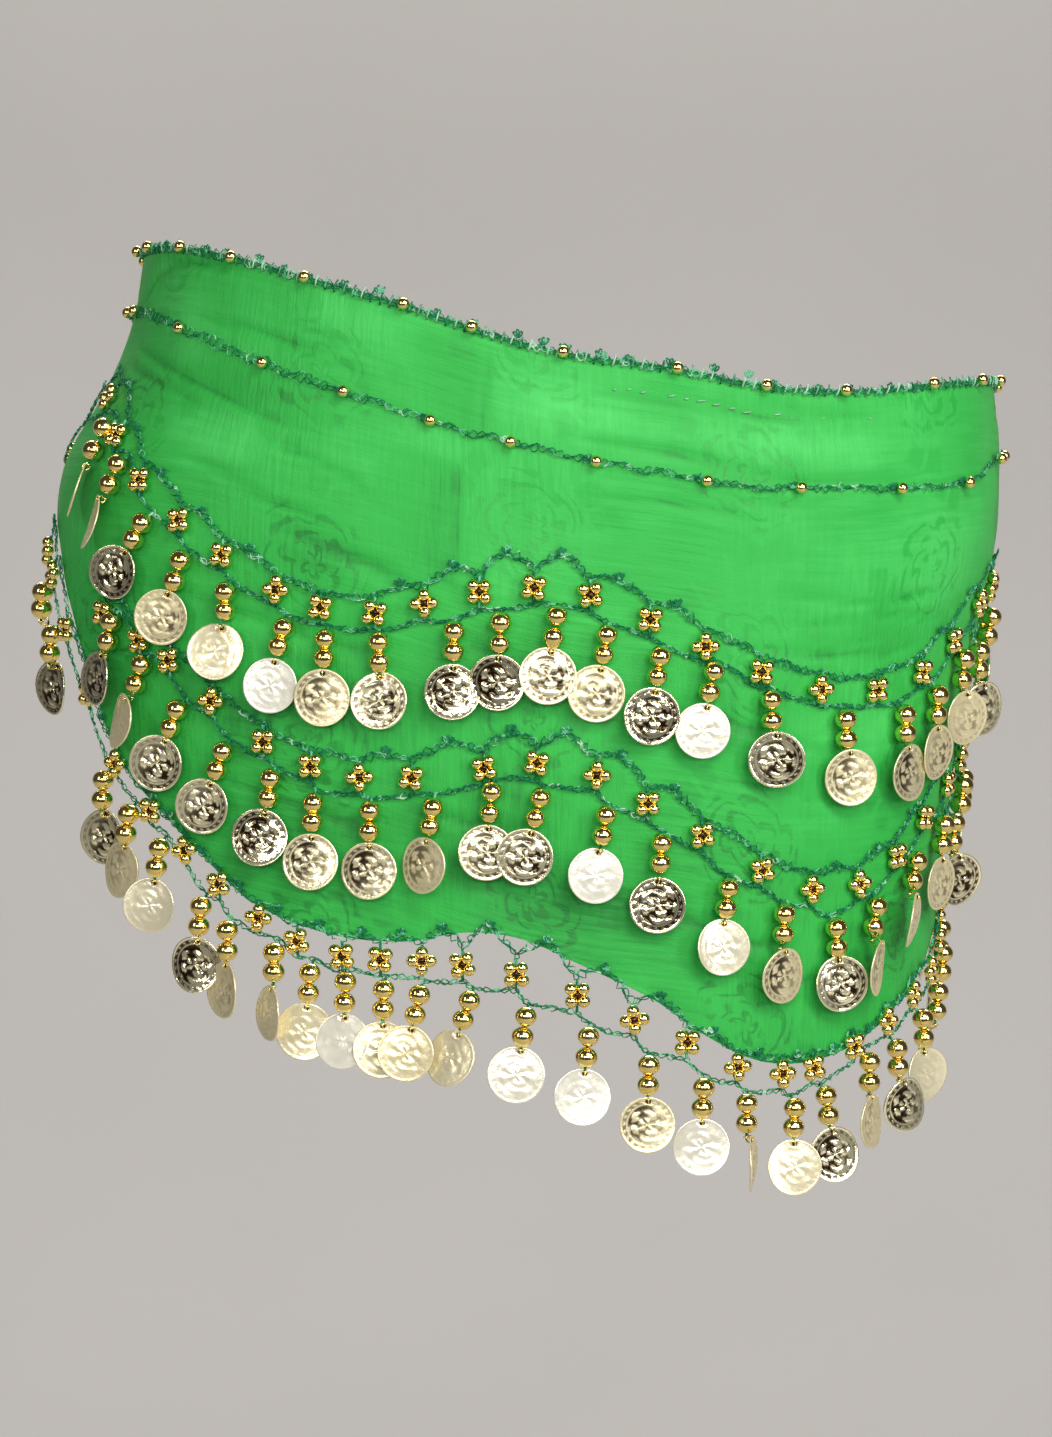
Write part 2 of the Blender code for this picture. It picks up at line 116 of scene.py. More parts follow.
# Creases: from angle and distance below the top edge, to angle and distance, how far the line bows down in
# its middle, how deep, half how wide, and height of the ridge beside it (below it, or above if negative)
CREASES = (
    (-76.5, 19.5, -71.5, 10.0, 0.0, 1.5, 1.3, 0.8),
    (-73, 11.5, -50, 4.5, -2.6, 1.0, 1.8, 0.5),
    (-59, 21.5, -32.5, 21.5, 1.2, 1.1, 1.5, 0.5),
    (-54, 24.6, -36, 24.4, 0.8, 0.5, 1.2, 0.2),
    (-50, 17.0, -30, 16.4, 0.4, 0.4, 1.6, 0.2),
    (-34, 25, -27, 26.5, 0.0, 0.5, 1.4, 0.3),
    (-76, 33, -37, 50, 2.8, 1.0, 1.6, 0.5),
    (-70, 43.2, -52, 50.6, 0.8, 0.6, 1.2, 0.3),
    (-77, 39, -64, 46.5, 0.6, 0.5, 1.3, 0.2),
    (-43, 56, -28, 64, -1.0, 1.0, 1.8, 0.5),
    (-40, 61.5, -24, 69, -0.6, 0.5, 1.4, 0.2),
    (-47, 74.5, -28, 78.8, 0.4, 0.8, 1.5, -0.3),
    (-44, 79.6, -30, 83.0, 0.2, 0.5, 1.3, 0.2),
    (-42, 83, -19, 93.5, -1.0, 1.1, 3.2, 0.4),
    (-58, 66, -42, 74, -0.6, 0.6, 2.2, 0.3),
    (7, 11.8, 53, 7.6, 1.8, 1.3, 1.4, 0.7),
    (16, 8.2, 48, 4.4, 1.4, 0.6, 1.1, 0.3),
    (-4, 14.6, 24, 16.2, 0.6, 0.4, 1.4, 0.2),
    (3, 27, 58, 31, 0.2, 1.1, 1.5, -0.5),
    (22, 31.2, 52, 33.6, 0.4, 0.6, 1.1, 0.2),
    (35, 26.2, 56, 28, 0.4, 0.6, 1.1, 0.3),
    (6, 38.6, 40, 39.6, 0.8, 0.5, 1.6, 0.2),
    (10, 46.6, 34, 46.2, -0.8, 1.0, 1.8, 0.5),
    (34, 40.3, 43.5, 39, 0.0, 0.5, 1.3, 0.2),
    (36, 68.3, 66, 70, 2.2, 1.0, 1.6, 0.4),
    (38, 78.7, 52, 78.6, 0.3, 0.7, 1.3, 0.2),
    (50, 74.6, 67, 79.6, 0.2, 0.8, 1.5, 0.3),
    (33, 88.5, 63, 87.6, 1.0, 1.0, 1.7, 0.4),
    (44, 84.0, 60, 83.4, 0.4, 0.4, 1.2, 0.2),
    (47, 91.5, 59, 91.2, 0.3, 0.5, 1.3, 0.2),
    (-8, 4, -9.5, 37, 0.8, 0.4, 2.6, 0.3),
    (-12.2, 48, -14, 88, 1.4, 0.15, 3.2, 0.3),
    (-56, 112, -24, 119, 1.6, 0.9, 2.4, 0.3),
    (-44, 127, -20, 131, 0.8, 0.6, 1.8, 0.2),
    (18, 112, 50, 124, -1.6, 0.8, 2.2, 0.3),
    (26, 134, 56, 141, -1.0, 0.6, 1.8, 0.2),
    (-14, 106, 8, 103, 1.2, 0.5, 2.0, 0.2),
    (-48, 172, -26, 177, 1.0, 0.7, 2.0, 0.3),
    (-22, 166, 2, 162, 1.0, 0.6, 1.8, 0.2),
    (10, 178, 44, 190, 1.2, 0.8, 2.2, 0.3),
    (30, 199, 58, 196, 1.4, 0.6, 1.8, 0.2),
    (84, 12, 118, 9, 2.4, 0.9, 2.4, 0.4),
    (88, 46, 116, 40, -2.0, 0.9, 3.0, 0.4),
    (76, 96, 104, 88, 2.0, 0.9, 2.2, 0.4),
    (84, 126, 108, 112, 1.4, 0.8, 2.0, 0.3),
    (-118, 14, -84, 18, 2.0, 1.1, 2.0, 0.5),
    (-112, 42, -86, 36, -1.6, 1.2, 2.4, 0.5),
    (-104, 56, -92, 58, 0.8, 0.7, 1.8, 0.3),
)
# One degree round the form is about this long
MM_PER_DEGREE = 2.6
# How sharply a crease fades at its ends, how uneven its depth is, and where its ridge lies in half widths
CREASE_FADE = 0.7
CREASE_UNEVEN = 0.3
RIDGE_AT = 1.7
# How far two slow waves of slack stand out
BROAD_SLACK = 0.35
FINE_SLACK = 0.22
FOLD_COLUMNS = np.array(FOLDS, float).T
CREASE_COLUMNS = np.array(CREASES, float).T

# Patches of painted shade and painted light, where the cloth is darker or paler: angle, distance below the
# top edge, half width, half height, change of tone
SHADE_AND_LIGHT_PATCHES = (
    (-50, 60, 26, 10, 0.25),
    (-62, 26, 22, 12, 0.40),
    (-46, 42, 26, 8, -0.40),
    (-30, 10, 24, 8, 0.20),
    (-36, 92, 22, 8, -0.30),
    (-42, 124, 26, 12, 0.30),
    (4, 18, 30, 9, 0.45),
    (40, 19, 40, 5, 0.30),
    (-4, 60, 10, 26, 0.10),
    (24, 60, 34, 12, -0.14),
    (14, 72, 26, 9, -0.20),
    (50, 42, 22, 7, -0.10),
    (52, 82, 26, 7, -0.20),
    (84, 34, 13, 60, -0.48),
    (62, 56, 26, 22, 0.30),
    (-68, 46, 22, 18, -0.35),
    (50, 116, 30, 12, 0.42),
    (-77, 20, 10, 30, -0.10),
    (-46, 148, 22, 10, -0.15),
    (44, 146, 30, 10, 0.25),
    (10, 116, 26, 10, 0.20),
    (-38, 185, 30, 12, -0.15),
    (4, 186, 44, 14, -0.22),
    (104, 60, 26, 20, 0.20),
    (-104, 40, 26, 16, 0.15),
)

# Tone of the upper part, how much darker the lower part is, where that starts and over what drop it comes in
UPPER_TONE = 0.60
LOWER_DARKER = 0.20
DARKER_FROM = 70
DARKER_OVER = 70
PATCH_STRENGTH = 0.75
# Painted shade along the creases: how strong, how sharply it fades at their ends, and how wide against the
# crease
CREASE_PAINTED_SHADE = 0.30
DARK_FADE = 0.6
DARK_WIDTH = 0.75
# Upright edges between tones, darker to their left: angle, lean in degrees for each mm down, distances below
# the top edge where they start and end, how far the darker tone reaches, change of tone
TONE_EDGES = (
    (-8.2, -0.03, 4, 40, 34, -0.20),
    (-12.6, -0.02, 44, 92, 22, -0.26),
    (-1.5, 0.01, 44, 78, 14, -0.10),
    (30.5, 0.02, 96, 130, 22, -0.12),
)
# Width of such an edge, and over what drop it comes in at its top and goes at its foot
TONE_EDGE_WIDTH = 1.4
TONE_EDGE_IN = 6
TONE_EDGE_OUT = 8

# Angle from the front to each end of the wrap, where its gathers into the knot begin, their number and depth,
# and the cloth's thickness and grid
WRAP_END = 170.15
GATHER_START = 128
GATHERS = 4.5
GATHER_DEPTH = 1.3
CLOTH_THICK = 0.4
FRONT_STEP = 0.78
SIDE_STEP = 1.25
FRONT_HALF = 96
CLOTH_ROWS = 104
# The cloth's length is measured along a line this far below its top edge
RUN_BELOW_TOP = 20

# Crochet: distance of a chain's middle from the cloth, half widths of its lace, how far its strands lie over
# one another and stray, how uneven its width is, and its yarn
CHAIN_OUT = 1.1
UPPER_HALF = 1.15
LOWER_HALF = 0.75
LACE_LIFT = 0.34
LACE_PITCH = 7.4
LACE_STRAY = 0.22
LACE_UNEVEN = (0.30, 0.22)
YARN_RADIUS = 0.23
FINE_YARN = 0.19
YARN_SIDES = 4
YARN_STEP = 1.05

# One cell of a row, above or below the middle of its bead flower
DIP_RISE = 5.4
LOWER_CHAIN = 5.6
LOWER_SAG = 1.4
HEM_LAP = 1.6
BEAD_4 = 2.15
BEAD_4_SPREAD = 2.9344
BEAD_OUT = 2.4
# Share of the flowers that are turned on their point, how far they stray from upright, how far their beads
# stray and vary in size, and the dark ball in their middle, painted as the shadow between the beads
TURNED_SHARE = 0.30
FLOWER_STRAY = 12
BEAD_4_STRAY = 0.11
BEAD_4_SIZES = (0.96, 1.04)
FLOWER_SHADOW_BALL = (1.35, 1.35, 1.0)
# Yarn behind a flower, from the upper chain to the lower one
TIE_OUT = 1.4
TIE_RADIUS = 0.5
TIE_POINTS = 9
# Fullness of the upper chain's arches, how far above a dip a peak has a tuft, and a chain's steps from flower
# to flower
ARCH_POWER = 0.85
TUFT_ABOVE = 1.5
CELL_STEPS = 12
# Tufts: degrees between their loops, half length and half width of a loop, how far it bows out, how far from
# the cloth it starts, and yarn
TUFT_FAN = 42
TUFT_REACH = (1.035, 1.35)
TUFT_HALF = 0.5
TUFT_RISE = 0.45
TUFT_OUT = 1.2
TUFT_YARN = 0.30

# Thickness of a bead against its width, for the larger ones and the small ones
BEAD_FLAT = 0.94
SMALL_BEAD_FLAT = 0.92

# One coin drop, measured down from its root
DROP_BEADS = (4.0, 10.8)
DROP_BEAD = 3.7
DROP_BEAD_OUT = 4.1
# How far the beads slip on their thread, and how beads and coins vary in size and coins in their bend
DROP_SLIP = 0.25
DROP_BEAD_SIZES = (0.97, 1.03)
COIN_SIZES = (0.95, 1.0)
COIN_BENDS = (0.35, 1.0)
# Thread: down and out, then the points' spacing and its radius
THREAD = ((0.0, CHAIN_OUT), (2.0, 3.0), (8.2, DROP_BEAD_OUT), (15.6, DROP_BEAD_OUT))
THREAD_STEP = 1.2
THREAD_RADIUS = 0.5
# Rings of gold at the foot of each bead, and the link between the lower one and the coin
NECKS = (8.25, 15.5)
NECK_RADIUS = 0.8
NECK_WIRE = 0.34
LINK_DOWN = 15.7
LINK_PAST = 0.55
LINK_HALF = 1.15
LINK_WIRE = 0.3
# How far below its root a drop takes the cloth's direction, and how far a turned coin moves out, as a share
# of its radius
FACING_DOWN = 12
TURNED_OUT = 0.4
COIN_DOWN = 24.0
COIN_RADIUS = 9.7
COIN_THICK = 0.42
COIN_OUT = 4.1
COIN_HOLE = 0.95
# Dark ball in the coin's hole, painted as the shadow seen through it, and how far in it sits
COIN_HOLE_SHADOW = (0.98, 0.98, 0.5)
COIN_HOLE_SHADOW_IN = 0.25
COIN_LEAN = 0.3
COIN_HOLE_AT = 8.15
COIN_SPOKES = 60
COIN_DOTS = 20
# Its relief: height, where it lies as a share of the radius, and over what share it rises or falls
COIN_RIM = (0.24, 0.905, 0.035)
COIN_DOT_RING = (0.36, 0.84, 0.028)
COIN_LINE = (0.12, 0.74, 0.02)
COIN_MIDDLE = (0.28, 0.70, 0.06)
COIN_RINGS = (0.09, 0.18, 0.27, 0.36, 0.45, 0.53, 0.61, 0.68, 0.74, 0.79, 0.84, 0.89, 0.93, 0.965, 1.0)

# Lean of the drops that can't be seen: angle, degrees with the lower end to the left
LEAN = ((-120, 12), (-90, 22), (-70, 20), (-45, 13), (-20, 7), (10, 5), (40, 3), (70, 0), (140, 0))

# Height of the upper chain's peaks above the flowers: angle, height
PEAKS_1 = (
    (-114, 9), (-70, 9), (-56, 8), (-44, 7), (-34, 5), (-26, 6), (-16, 9), (-4, 11.5), (4, 11), (12, 8.5),
    (22, 8), (30, 6.5), (40, 5), (50, 4.5), (58, 6), (68, 8.5), (134, 9),
)
PEAKS_2 = ((-68, 9), (-52, 5), (-38, 5), (-24, 8), (-8, 10.5), (12, 10), (26, 8), (36, 5), (48, 7), (100, 8))

# Bead flowers that can be seen, by angle
FLOWERS_1 = (
    -74.6, -66.2, -59.8, -53.6, -47.4, -39.8, -33.6, -25.8, -18.4, -9.8, -1.1, 8.0, 17.3, 25.7, 34.2, 43.5,
    52.6, 61.3, 68.7, 75.6,
)
FLOWERS_2 = (
    -59.1, -54.3, -48.5, -41.5, -34.9, -27.9, -20.3, -9.1, -0.6, 8.9, 17.0, 25.5, 34.8, 43.1, 51.5, 58.8,
    65.2,
)
FLOWERS_3 = (
    -63.4, -58.0, -53.0, -48.2, -42.6, -37.2, -30.8, -25.2, -18.9, -12.5, -4.0, 5.9, 15.0, 23.5, 31.6, 38.9,
    44.4, 52.0, 59.4, 67.6,
)
# Drops between those flowers: angle of the root, swing of the lower end to the left in degrees, turn of the
# coin about its thread, its tip backwards, how far it stands out beyond the rest, its finish and painted
# reflection (from 0, deeply struck with a painted dark reflection, by way of matt, to 1, worn flat with a
# painted white glare), and how much higher than the rest it hangs
DROPS_1 = (
    (-68.2, 8, -30, 0, 0.2, 0.50, 8.6), (-62.8, 20, -36, 0, 0.6, 0.62, 8.4),
    (-57.6, 32, 10, 1, 0.8, 0.12, 1.0), (-52.2, 17, 12, 3, 0.4, 0.52, 0.0), (-46.2, 8, 6, 4, 0.4, 0.74, 0.5),
    (-38.5, 10, 4, 6, 0.6, 1.00, 0.0), (-32.7, 2, 5, 1, 0.4, 0.50, 1.3), (-25.2, -2, -3, 3, 0.4, 0.40, 1.0),
    (-13.6, 2, 6, 4, 0.5, 0.32, -0.6), (-6.3, 3, -6, 2, 0.4, 0.18, 0.0), (2.8, 8, 4, 3, 0.5, 0.42, 2.0),
    (10.9, 11, -3, 0, 0.4, 0.48, 0.0), (19.0, 9, 5, 1, 0.4, 0.16, 0.4), (27.1, 11, -8, 3, 0.7, 0.84, 4.2),
    (35.3, -3, -24, 4, 1.4, 0.30, 2.7), (47.1, -4, -14, 1, 0.7, 0.50, 1.9), (57.6, -6, 7, 1, 1.4, 0.45, 0.0),
    (64.2, -4, 2, 0, 1.0, 0.52, 0.0), (71.2, -3, -26, 0, 0.8, 0.58, 0.0), (78.4, -8, -36, 0, 0.8, 0.30, -8.0),
)
DROPS_2 = (
    (-62.6, 14, -14, 0, 1.0, 0.20, 12.0), (-57.4, 22, -32, 0, 1.0, 0.66, 4.5),
    (-52.2, 24, 12, 3, 0.5, 0.36, -1.2), (-46.2, 21, 6, 3, 0.4, 0.38, -1.2),
    (-39.8, 12, 3, 1, 0.4, 0.26, 1.1), (-34.3, 3, 4, 3, 0.4, 0.44, -0.5), (-26.2, 2, -4, 3, 0.4, 0.42, 0.2),
    (-16.7, 8, -34, 0, 0.8, 0.52, 0.9), (-7.6, 6, 6, 5, 0.4, 0.40, 2.6), (0.5, 15, -5, 3, 1.4, 0.36, -0.2),
    (10.6, 9, 3, 6, 0.5, 1.00, -0.8), (19.2, 3, -4, 1, 0.4, 0.06, 0.5), (29.6, 6, 6, 6, 0.5, 0.80, -1.0),
    (38.2, 2, 17, 0, 1.0, 0.46, -0.5), (46.5, -6, -14, 4, 0.8, 0.34, -1.6), (54.7, 8, 29, 0, 2.4, 0.55, 0.0),
    (63.4, 15, 20, 0, 2.0, 0.60, 0.0), (70.6, 3, -12, 0, 0.6, 0.56, 0.0), (77.5, -8, -36, 0, 0.8, 0.25, -8.0),
)
DROPS_3 = (
    (-64.8, 8, 10, 0, -2.0, 0.35, 0.0), (-60.4, 16, -11, 2, -1.0, 0.60, 3.0),
    (-56.0, 12, 14, 5, 0.0, 0.78, 4.0), (-50.2, 8, 4, 2, 0.0, 0.28, -1.0),
    (-46.6, 2, -32, 2, 0.0, 0.60, -1.0), (-40.2, 2, -44, 0, 1.0, 0.70, 3.5),
    (-34.9, 7, 10, 5, 0.4, 0.72, 3.0), (-30.1, 3, -4, 11, 0.4, 1.00, 3.0), (-24.4, 2, 5, 4, 0.4, 0.70, 1.2),
    (-18.8, 12, -3, 4, 1.6, 0.66, 0.0), (-10.8, 18, -34, 4, 1.6, 0.74, -0.6),
    (-2.0, 10, -3, 8, 0.8, 0.86, -1.4), (7.9, 6, 4, 6, 0.5, 1.00, -1.2), (17.3, 2, -6, 2, 0.4, 0.48, -1.8),
    (26.0, 2, -10, 6, 0.6, 0.90, -1.2), (32.8, 0, 60, 0, 1.2, 0.60, 0.0), (40.6, 2, -14, 5, 0.6, 0.74, -0.5),
    (45.9, -8, -10, 3, 0.9, 0.30, 0.5), (54.4, -2, 16, 2, 0.6, 0.60, 3.0),
    (60.8, -12, -14, 3, 1.0, 0.28, 0.0), (69.7, -12, -24, 2, -1.0, 0.76, 0.0),
)
# Rows: name, line, peaks, seen flowers, seen drops, pitch on the left and right, more flowers to left and
# right, a stretch left bare, and how far the drops that can't be seen hang in from the others. The hem row's
# peaks lie on the hem.
ROWS = (
    ("row_1", ROW_1, PEAKS_1, FLOWERS_1, DROPS_1, 17.2, 19.4, 5, 7, (-100, -75), 0.0),
    ("row_2", ROW_2, PEAKS_2, FLOWERS_2, DROPS_2, 17.8, 19.0, 1, 4, None, 0.0),
    ("row_3", ROW_3, None, FLOWERS_3, DROPS_3, 15.2, 18.2, 4, 7, (-75, -68.5), 3.5),
)
WALK_STEP = 0.25
# Ranges of the drops that can't be seen: place of the root in its gap, swing, turn and tip in degrees, and
# how far out they stand
ROOT_RANGE = (0.35, 0.65)
SWING_RANGE = (-4.5, 4.5)
TURN_RANGE = (-13, 13)
TIP_RANGE = (-4.8, 7.2)
OUT_RANGE = (0.2, 0.8)

# Small beads by angle: on the top edge, on the second chain, and their pitch on the sides that can't be seen
TOP_BEADS = (-52.1, -39.2, -22.9, -11.6, 3.8, 22.2, 35.5, 47.2, 61.3)
CHAIN_BEADS = (-77.7, -60.6, -44.5, -31.4, -17.9, -4.9, 9.0, 26.2, 39.7, 54.6, 67.3, 79.2)
HIDDEN_BEAD_PITCH = 11.5
SMALL_BEAD = 2.1
SMALL_BEAD_OUT = 2.7
# Ends of the chains along the cloth and of their beads, the number of points of their lines, and the second
# chain's half width, how much wider it is at the left, from what angle on and over how many degrees
CHAIN_END = WRAP_END - 1.5
BEAD_END = WRAP_END - 3
LINE_POINTS = 900
SECOND_HALF = 1.05
SECOND_WIDER = 0.65
WIDER_FROM = -20
WIDER_OVER = 30
# Edging: pitch of its loops in degrees, steps of its zigzag, and yarn of the stitches over the edge
EDGE_PITCH = 1.55
EDGE_STEP = 0.42
EDGE_YARN = 0.33
EDGE_TUFT_PITCH = 5.3
# One stitch over the edge: height, distance out and slant of its four points
STITCH_RISE = (-2.4, -1.4, 0.0, 1.1)
STITCH_OUT = (0.4, 1.5, 1.9, 1.2)
STITCH_SLANT = (-0.5, -0.2, 0.2, 0.6)
# Pale stitches just above the long crease on the right: first angle, last, step, then distance below the top
# edge, share of them left out, and yarn
PALE_STITCHES = (10, 52, 2.3)
PALE_DOWN = 9.4
PALE_MISSING = 0.4
PALE_YARN = 0.24
PALE_OUT = (0.1, 0.32, 0.32, 0.1)

# Knot and tails, as their solids are
KNOT_HALF_WIDTH = 21.5
KNOT_HALF_HEIGHT = 20
KNOT_OUT = 20
KNOT_IN = 3
KNOT_SQUARENESS = 2.4
KNOT_TURN_WIDTH = 0.42
KNOT_TURN_SLANT = 0.35
KNOT_TURN_RISE = 2.4
# Its pleats: depth of the broad and fine ones of the turn, and of those drawn in towards it
KNOT_PLEAT = 0.45
KNOT_FINE_PLEAT = 0.25
KNOT_DRAWN = 0.75
KNOT_RINGS = 84
KNOT_SIDES = 120
KNOT_FLAT_ACROSS = 14
KNOT_FLAT_DOWN = 18
TAIL_LENGTH = 118
TAIL_TOP_WIDTH = 17
TAIL_END_WIDTH = 44
TAIL_START = 11
TAIL_SPREAD = 15
TAIL_STAND_OFF = 7
TAIL_PLEATS = 2
TAIL_PLEAT_DEPTH = 2.6
TAIL_PLEAT_DRIFT = 2.0
TAIL_WIDENING = 0.7
# Fine pleats at a tail's top, and waves all down it: number and depth
TAIL_FINE = (6.5, 0.8)
TAIL_WAVES = (3.4, 0.4)
TAIL_ACROSS = 72
TAIL_DOWN = 96

# Finish and painted reflection of a coin against how strongly it is struck, and how far its disc is bent
COIN_STRIKE = ((0.0, 1.1), (0.3, 1.0), (0.5, 0.78), (0.7, 0.50), (1.0, 0.12))
COIN_BEND = ((0.0, 0.9), (0.3, 1.5), (0.5, 0.6), (0.7, 1.2), (1.0, 0.35))

# Colours, linear
GREEN_LIT = (0.072, 0.60, 0.120, 1.0)
GREEN_MID = (0.028, 0.42, 0.058, 1.0)
GREEN_DEEP = (0.010, 0.20, 0.026, 1.0)
TEAL = (0.010, 0.250, 0.095, 1.0)
TEAL_DEEP = (0.002, 0.095, 0.040, 1.0)
MINT = (0.13, 0.52, 0.28, 1.0)
PALE_MINT = (0.50, 0.80, 0.58, 1.0)
BEAD_GOLD = (0.96, 0.75, 0.26, 1.0)
COIN_GOLD = (1.0, 0.91, 0.60, 1.0)
COIN_MATT = (0.90, 0.79, 0.48, 1.0)
# White of the brightest coins, a painted glare of the bright light
COIN_PAINTED_GLARE = (1.0, 0.96, 0.80, 1.0)
# Dark of the coins: patina and painted dark reflection in their hollows, and painted shadow in the flowers'
# middles and the coins' holes
COIN_PATINA_AND_SHADE = (0.045, 0.025, 0.010, 1.0)
BACKDROP = (0.475, 0.452, 0.428, 1.0)


def read_table(rows, at, column=1):
    """Values of a column at places along the table's first column, on one smooth curve."""
    table = np.array(rows, float)
    places = table[:, 0]
    values = table[:, column]
    slopes = np.empty(len(rows))
    slopes[1:-1] = (values[2:] - values[:-2]) / (places[2:] - places[:-2])
    slopes[0] = (values[1] - values[0]) / (places[1] - places[0])
    slopes[-1] = (values[-1] - values[-2]) / (places[-1] - places[-2])
    at = np.clip(np.asarray(at, float), places[0], places[-1])
    i = np.clip(np.searchsorted(places, at, side="right") - 1, 0, len(rows) - 2)
    span = places[i + 1] - places[i]
    t = (at - places[i]) / span
    return (
        values[i] * (1 + 2 * t) * (1 - t) ** 2
        + values[i + 1] * t * t * (3 - 2 * t)
        + slopes[i] * span * t * (1 - t) ** 2
        - slopes[i + 1] * span * t * t * (1 - t)
    )


def top_at(angle):
    return read_table(TOP_EDGE, angle)


def smooth_step(t):
    t = np.clip(t, 0, 1)
    return t * t * (3 - 2 * t)


def chance(*numbers):
    """A number from 0 to 1 that looks random and is the same on every run."""
    mixed = sum((k + 1) * 12.9898 * number for k, number in enumerate(numbers))
    return (math.sin(mixed) * 43758.5453) % 1.0


def vary(low, high, *numbers):
    """A number from low to high, picked in the same way."""
    return low + (high - low) * chance(*numbers)


def crease_lines(angle, drop):
    """Share of the way along every crease, and distance from its line, for points of the cloth."""
    from_angle, from_drop, to_angle, to_drop, bow = CREASE_COLUMNS[:5]
    run = (to_angle - from_angle) * MM_PER_DEGREE
    fall = to_drop - from_drop
    length = np.hypot(run, fall)
    x = (angle[..., None] - from_angle) * MM_PER_DEGREE
    y = drop[..., None] - from_drop
    t = np.clip((x * run + y * fall) / length ** 2, 0, 1)
    away = (y * run - x * fall) / length
    return t, away - bow * 4 * t * (1 - t)


def relief(angle, drop):
    """How far the cloth stands out from its plain form: folds, creases, slack and the gathers at the knot."""
    angle, drop = np.broadcast_arrays(np.asarray(angle, float), np.asarray(drop, float))
    from_angle, from_drop, to_angle, to_drop, deep, half_width = FOLD_COLUMNS
    t = np.clip((angle[..., None] - from_angle) / (to_angle - from_angle), 0, 1)
    away = (drop[..., None] - from_drop - t * (to_drop - from_drop)) / half_width
    out = -(deep * np.sin(np.pi * t) * np.exp(-away * away)).sum(-1)
    deep, half_width, ridge = CREASE_COLUMNS[5:]
    t, away = crease_lines(angle, drop)
    uneven = 1 + CREASE_UNEVEN * np.sin(9 * t + 2.1 * np.arange(len(deep)))
    strength = np.sin(np.pi * t) ** CREASE_FADE * uneven
    trough = deep * np.exp(-((away / half_width) ** 2))
    from_ridge = away - np.copysign(RIDGE_AT * half_width, ridge)
    beside = np.abs(ridge) * np.exp(-((from_ridge / half_width) ** 2))
    out = out + (strength * (beside - trough)).sum(-1)
    broad = np.sin(angle * 0.21 + 0.9 * np.sin(drop * 0.045)) * np.sin(drop * 0.052 + 0.6)
    fine = np.sin(angle * 0.47 + drop * 0.071 + 1.3) * np.sin(drop * 0.11 - angle * 0.05)
    out = out + BROAD_SLACK * broad + FINE_SLACK * fine
    gather = smooth_step((np.abs(angle) - GATHER_START) / (WRAP_END - GATHER_START))
    share = drop / read_table(HEM, angle)
    pleats = np.sin(2 * np.pi * GATHERS * share + 0.8 * np.sin(angle * 0.11))
    return out + GATHER_DEPTH * gather * pleats


def form(angle, height):
    """Points of the cloth's outer face at angles round the form and heights."""
    angle, height = np.broadcast_arrays(np.asarray(angle, float), np.asarray(height, float))
    turn = np.radians(angle)
    across = np.sin(turn)
    forward = np.cos(turn)
    side = np.where(across > 0, read_table(SECTIONS, height, 2), read_table(SECTIONS, height, 1))
    depth = np.where(forward > 0, read_table(SECTIONS, height, 3), read_table(SECTIONS, height, 4))
    power = (np.abs(across) / side) ** ROUNDNESS + (np.abs(forward) / depth) ** ROUNDNESS
    reach = power ** (-1 / ROUNDNESS) + relief(angle, top_at(angle) - height)
    return np.stack([reach * across, -reach * forward, height], axis=-1)


def unit(vectors):
    return vectors / np.linalg.norm(vectors, axis=-1, keepdims=True)


def out_from(angle, height):
    """Directions straight out of the cloth."""
    along = form(angle + NEAR_ANGLE, height) - form(angle - NEAR_ANGLE, height)
    up = form(angle, height + NEAR_HEIGHT) - form(angle, height - NEAR_HEIGHT)
    return unit(np.cross(along, up))


def on_cloth(angle, height, out, along=0.0):
    """Points moved out of the cloth's face, and sideways along it."""
    angle, height, along = np.broadcast_arrays(
        np.asarray(angle, float), np.asarray(height, float), np.asarray(along, float)
    )
    step = np.linalg.norm(form(angle + 0.5, height) - form(angle - 0.5, height), axis=-1)
    angle = angle + along / step
    return form(angle, height) + out_from(angle, height) * np.asarray(out)[..., None]


def turned_frame(outward, swing):
    """Directions across and up on the cloth, turned by a swing in degrees."""
    level = unit(np.cross((0, 0, 1), outward))
    rise = np.cross(outward, level)
    turn = math.radians(swing)
    return level * math.cos(turn) - rise * math.sin(turn), rise * math.cos(turn) + level * math.sin(turn)


def frame_at(angle, height, swing, out):
    """Place on the cloth, with its directions across, up and outward."""
    outward = out_from(angle, height)
    return on_cloth(angle, height, out), *turned_frame(outward, swing), outward


def run_along(path):
    """Distance along a path from its first point to each of its points."""
    return np.concatenate([[0], np.cumsum(np.linalg.norm(np.diff(path, axis=0), axis=-1))])


def circle(count):
    """Turns of a full circle in equal steps, in radians."""
    return 2 * np.pi * np.arange(count) / count


def ring_path(centre, first, second, count):
    """An oval ring whose half axes are two vectors."""
    turn = circle(count)[:, None]
    return centre + np.cos(turn) * first + np.sin(turn) * second


def put(name, data):
    """A new object in the scene."""
    thing = bpy.data.objects.new(name, data)
    bpy.context.scene.collection.objects.link(thing)
    return thing


def globe_faces(sides, levels):
    """Faces of a round form: rings of points from low to high, then its lowest and its highest point."""
    around = np.arange(sides)
    after = (around + 1) % sides
    ring = np.arange(levels - 1)[:, None] * sides
    quads = np.stack([ring + around, ring + after, ring + after + sides, ring + around + sides], -1)
    low = levels * sides
    last = low - sides
    bottom = np.stack([np.full(sides, low), after, around], -1)
    top = np.stack([np.full(sides, low + 1), last + around, last + after], -1)
    return [quads.reshape(-1, 4), bottom, top]


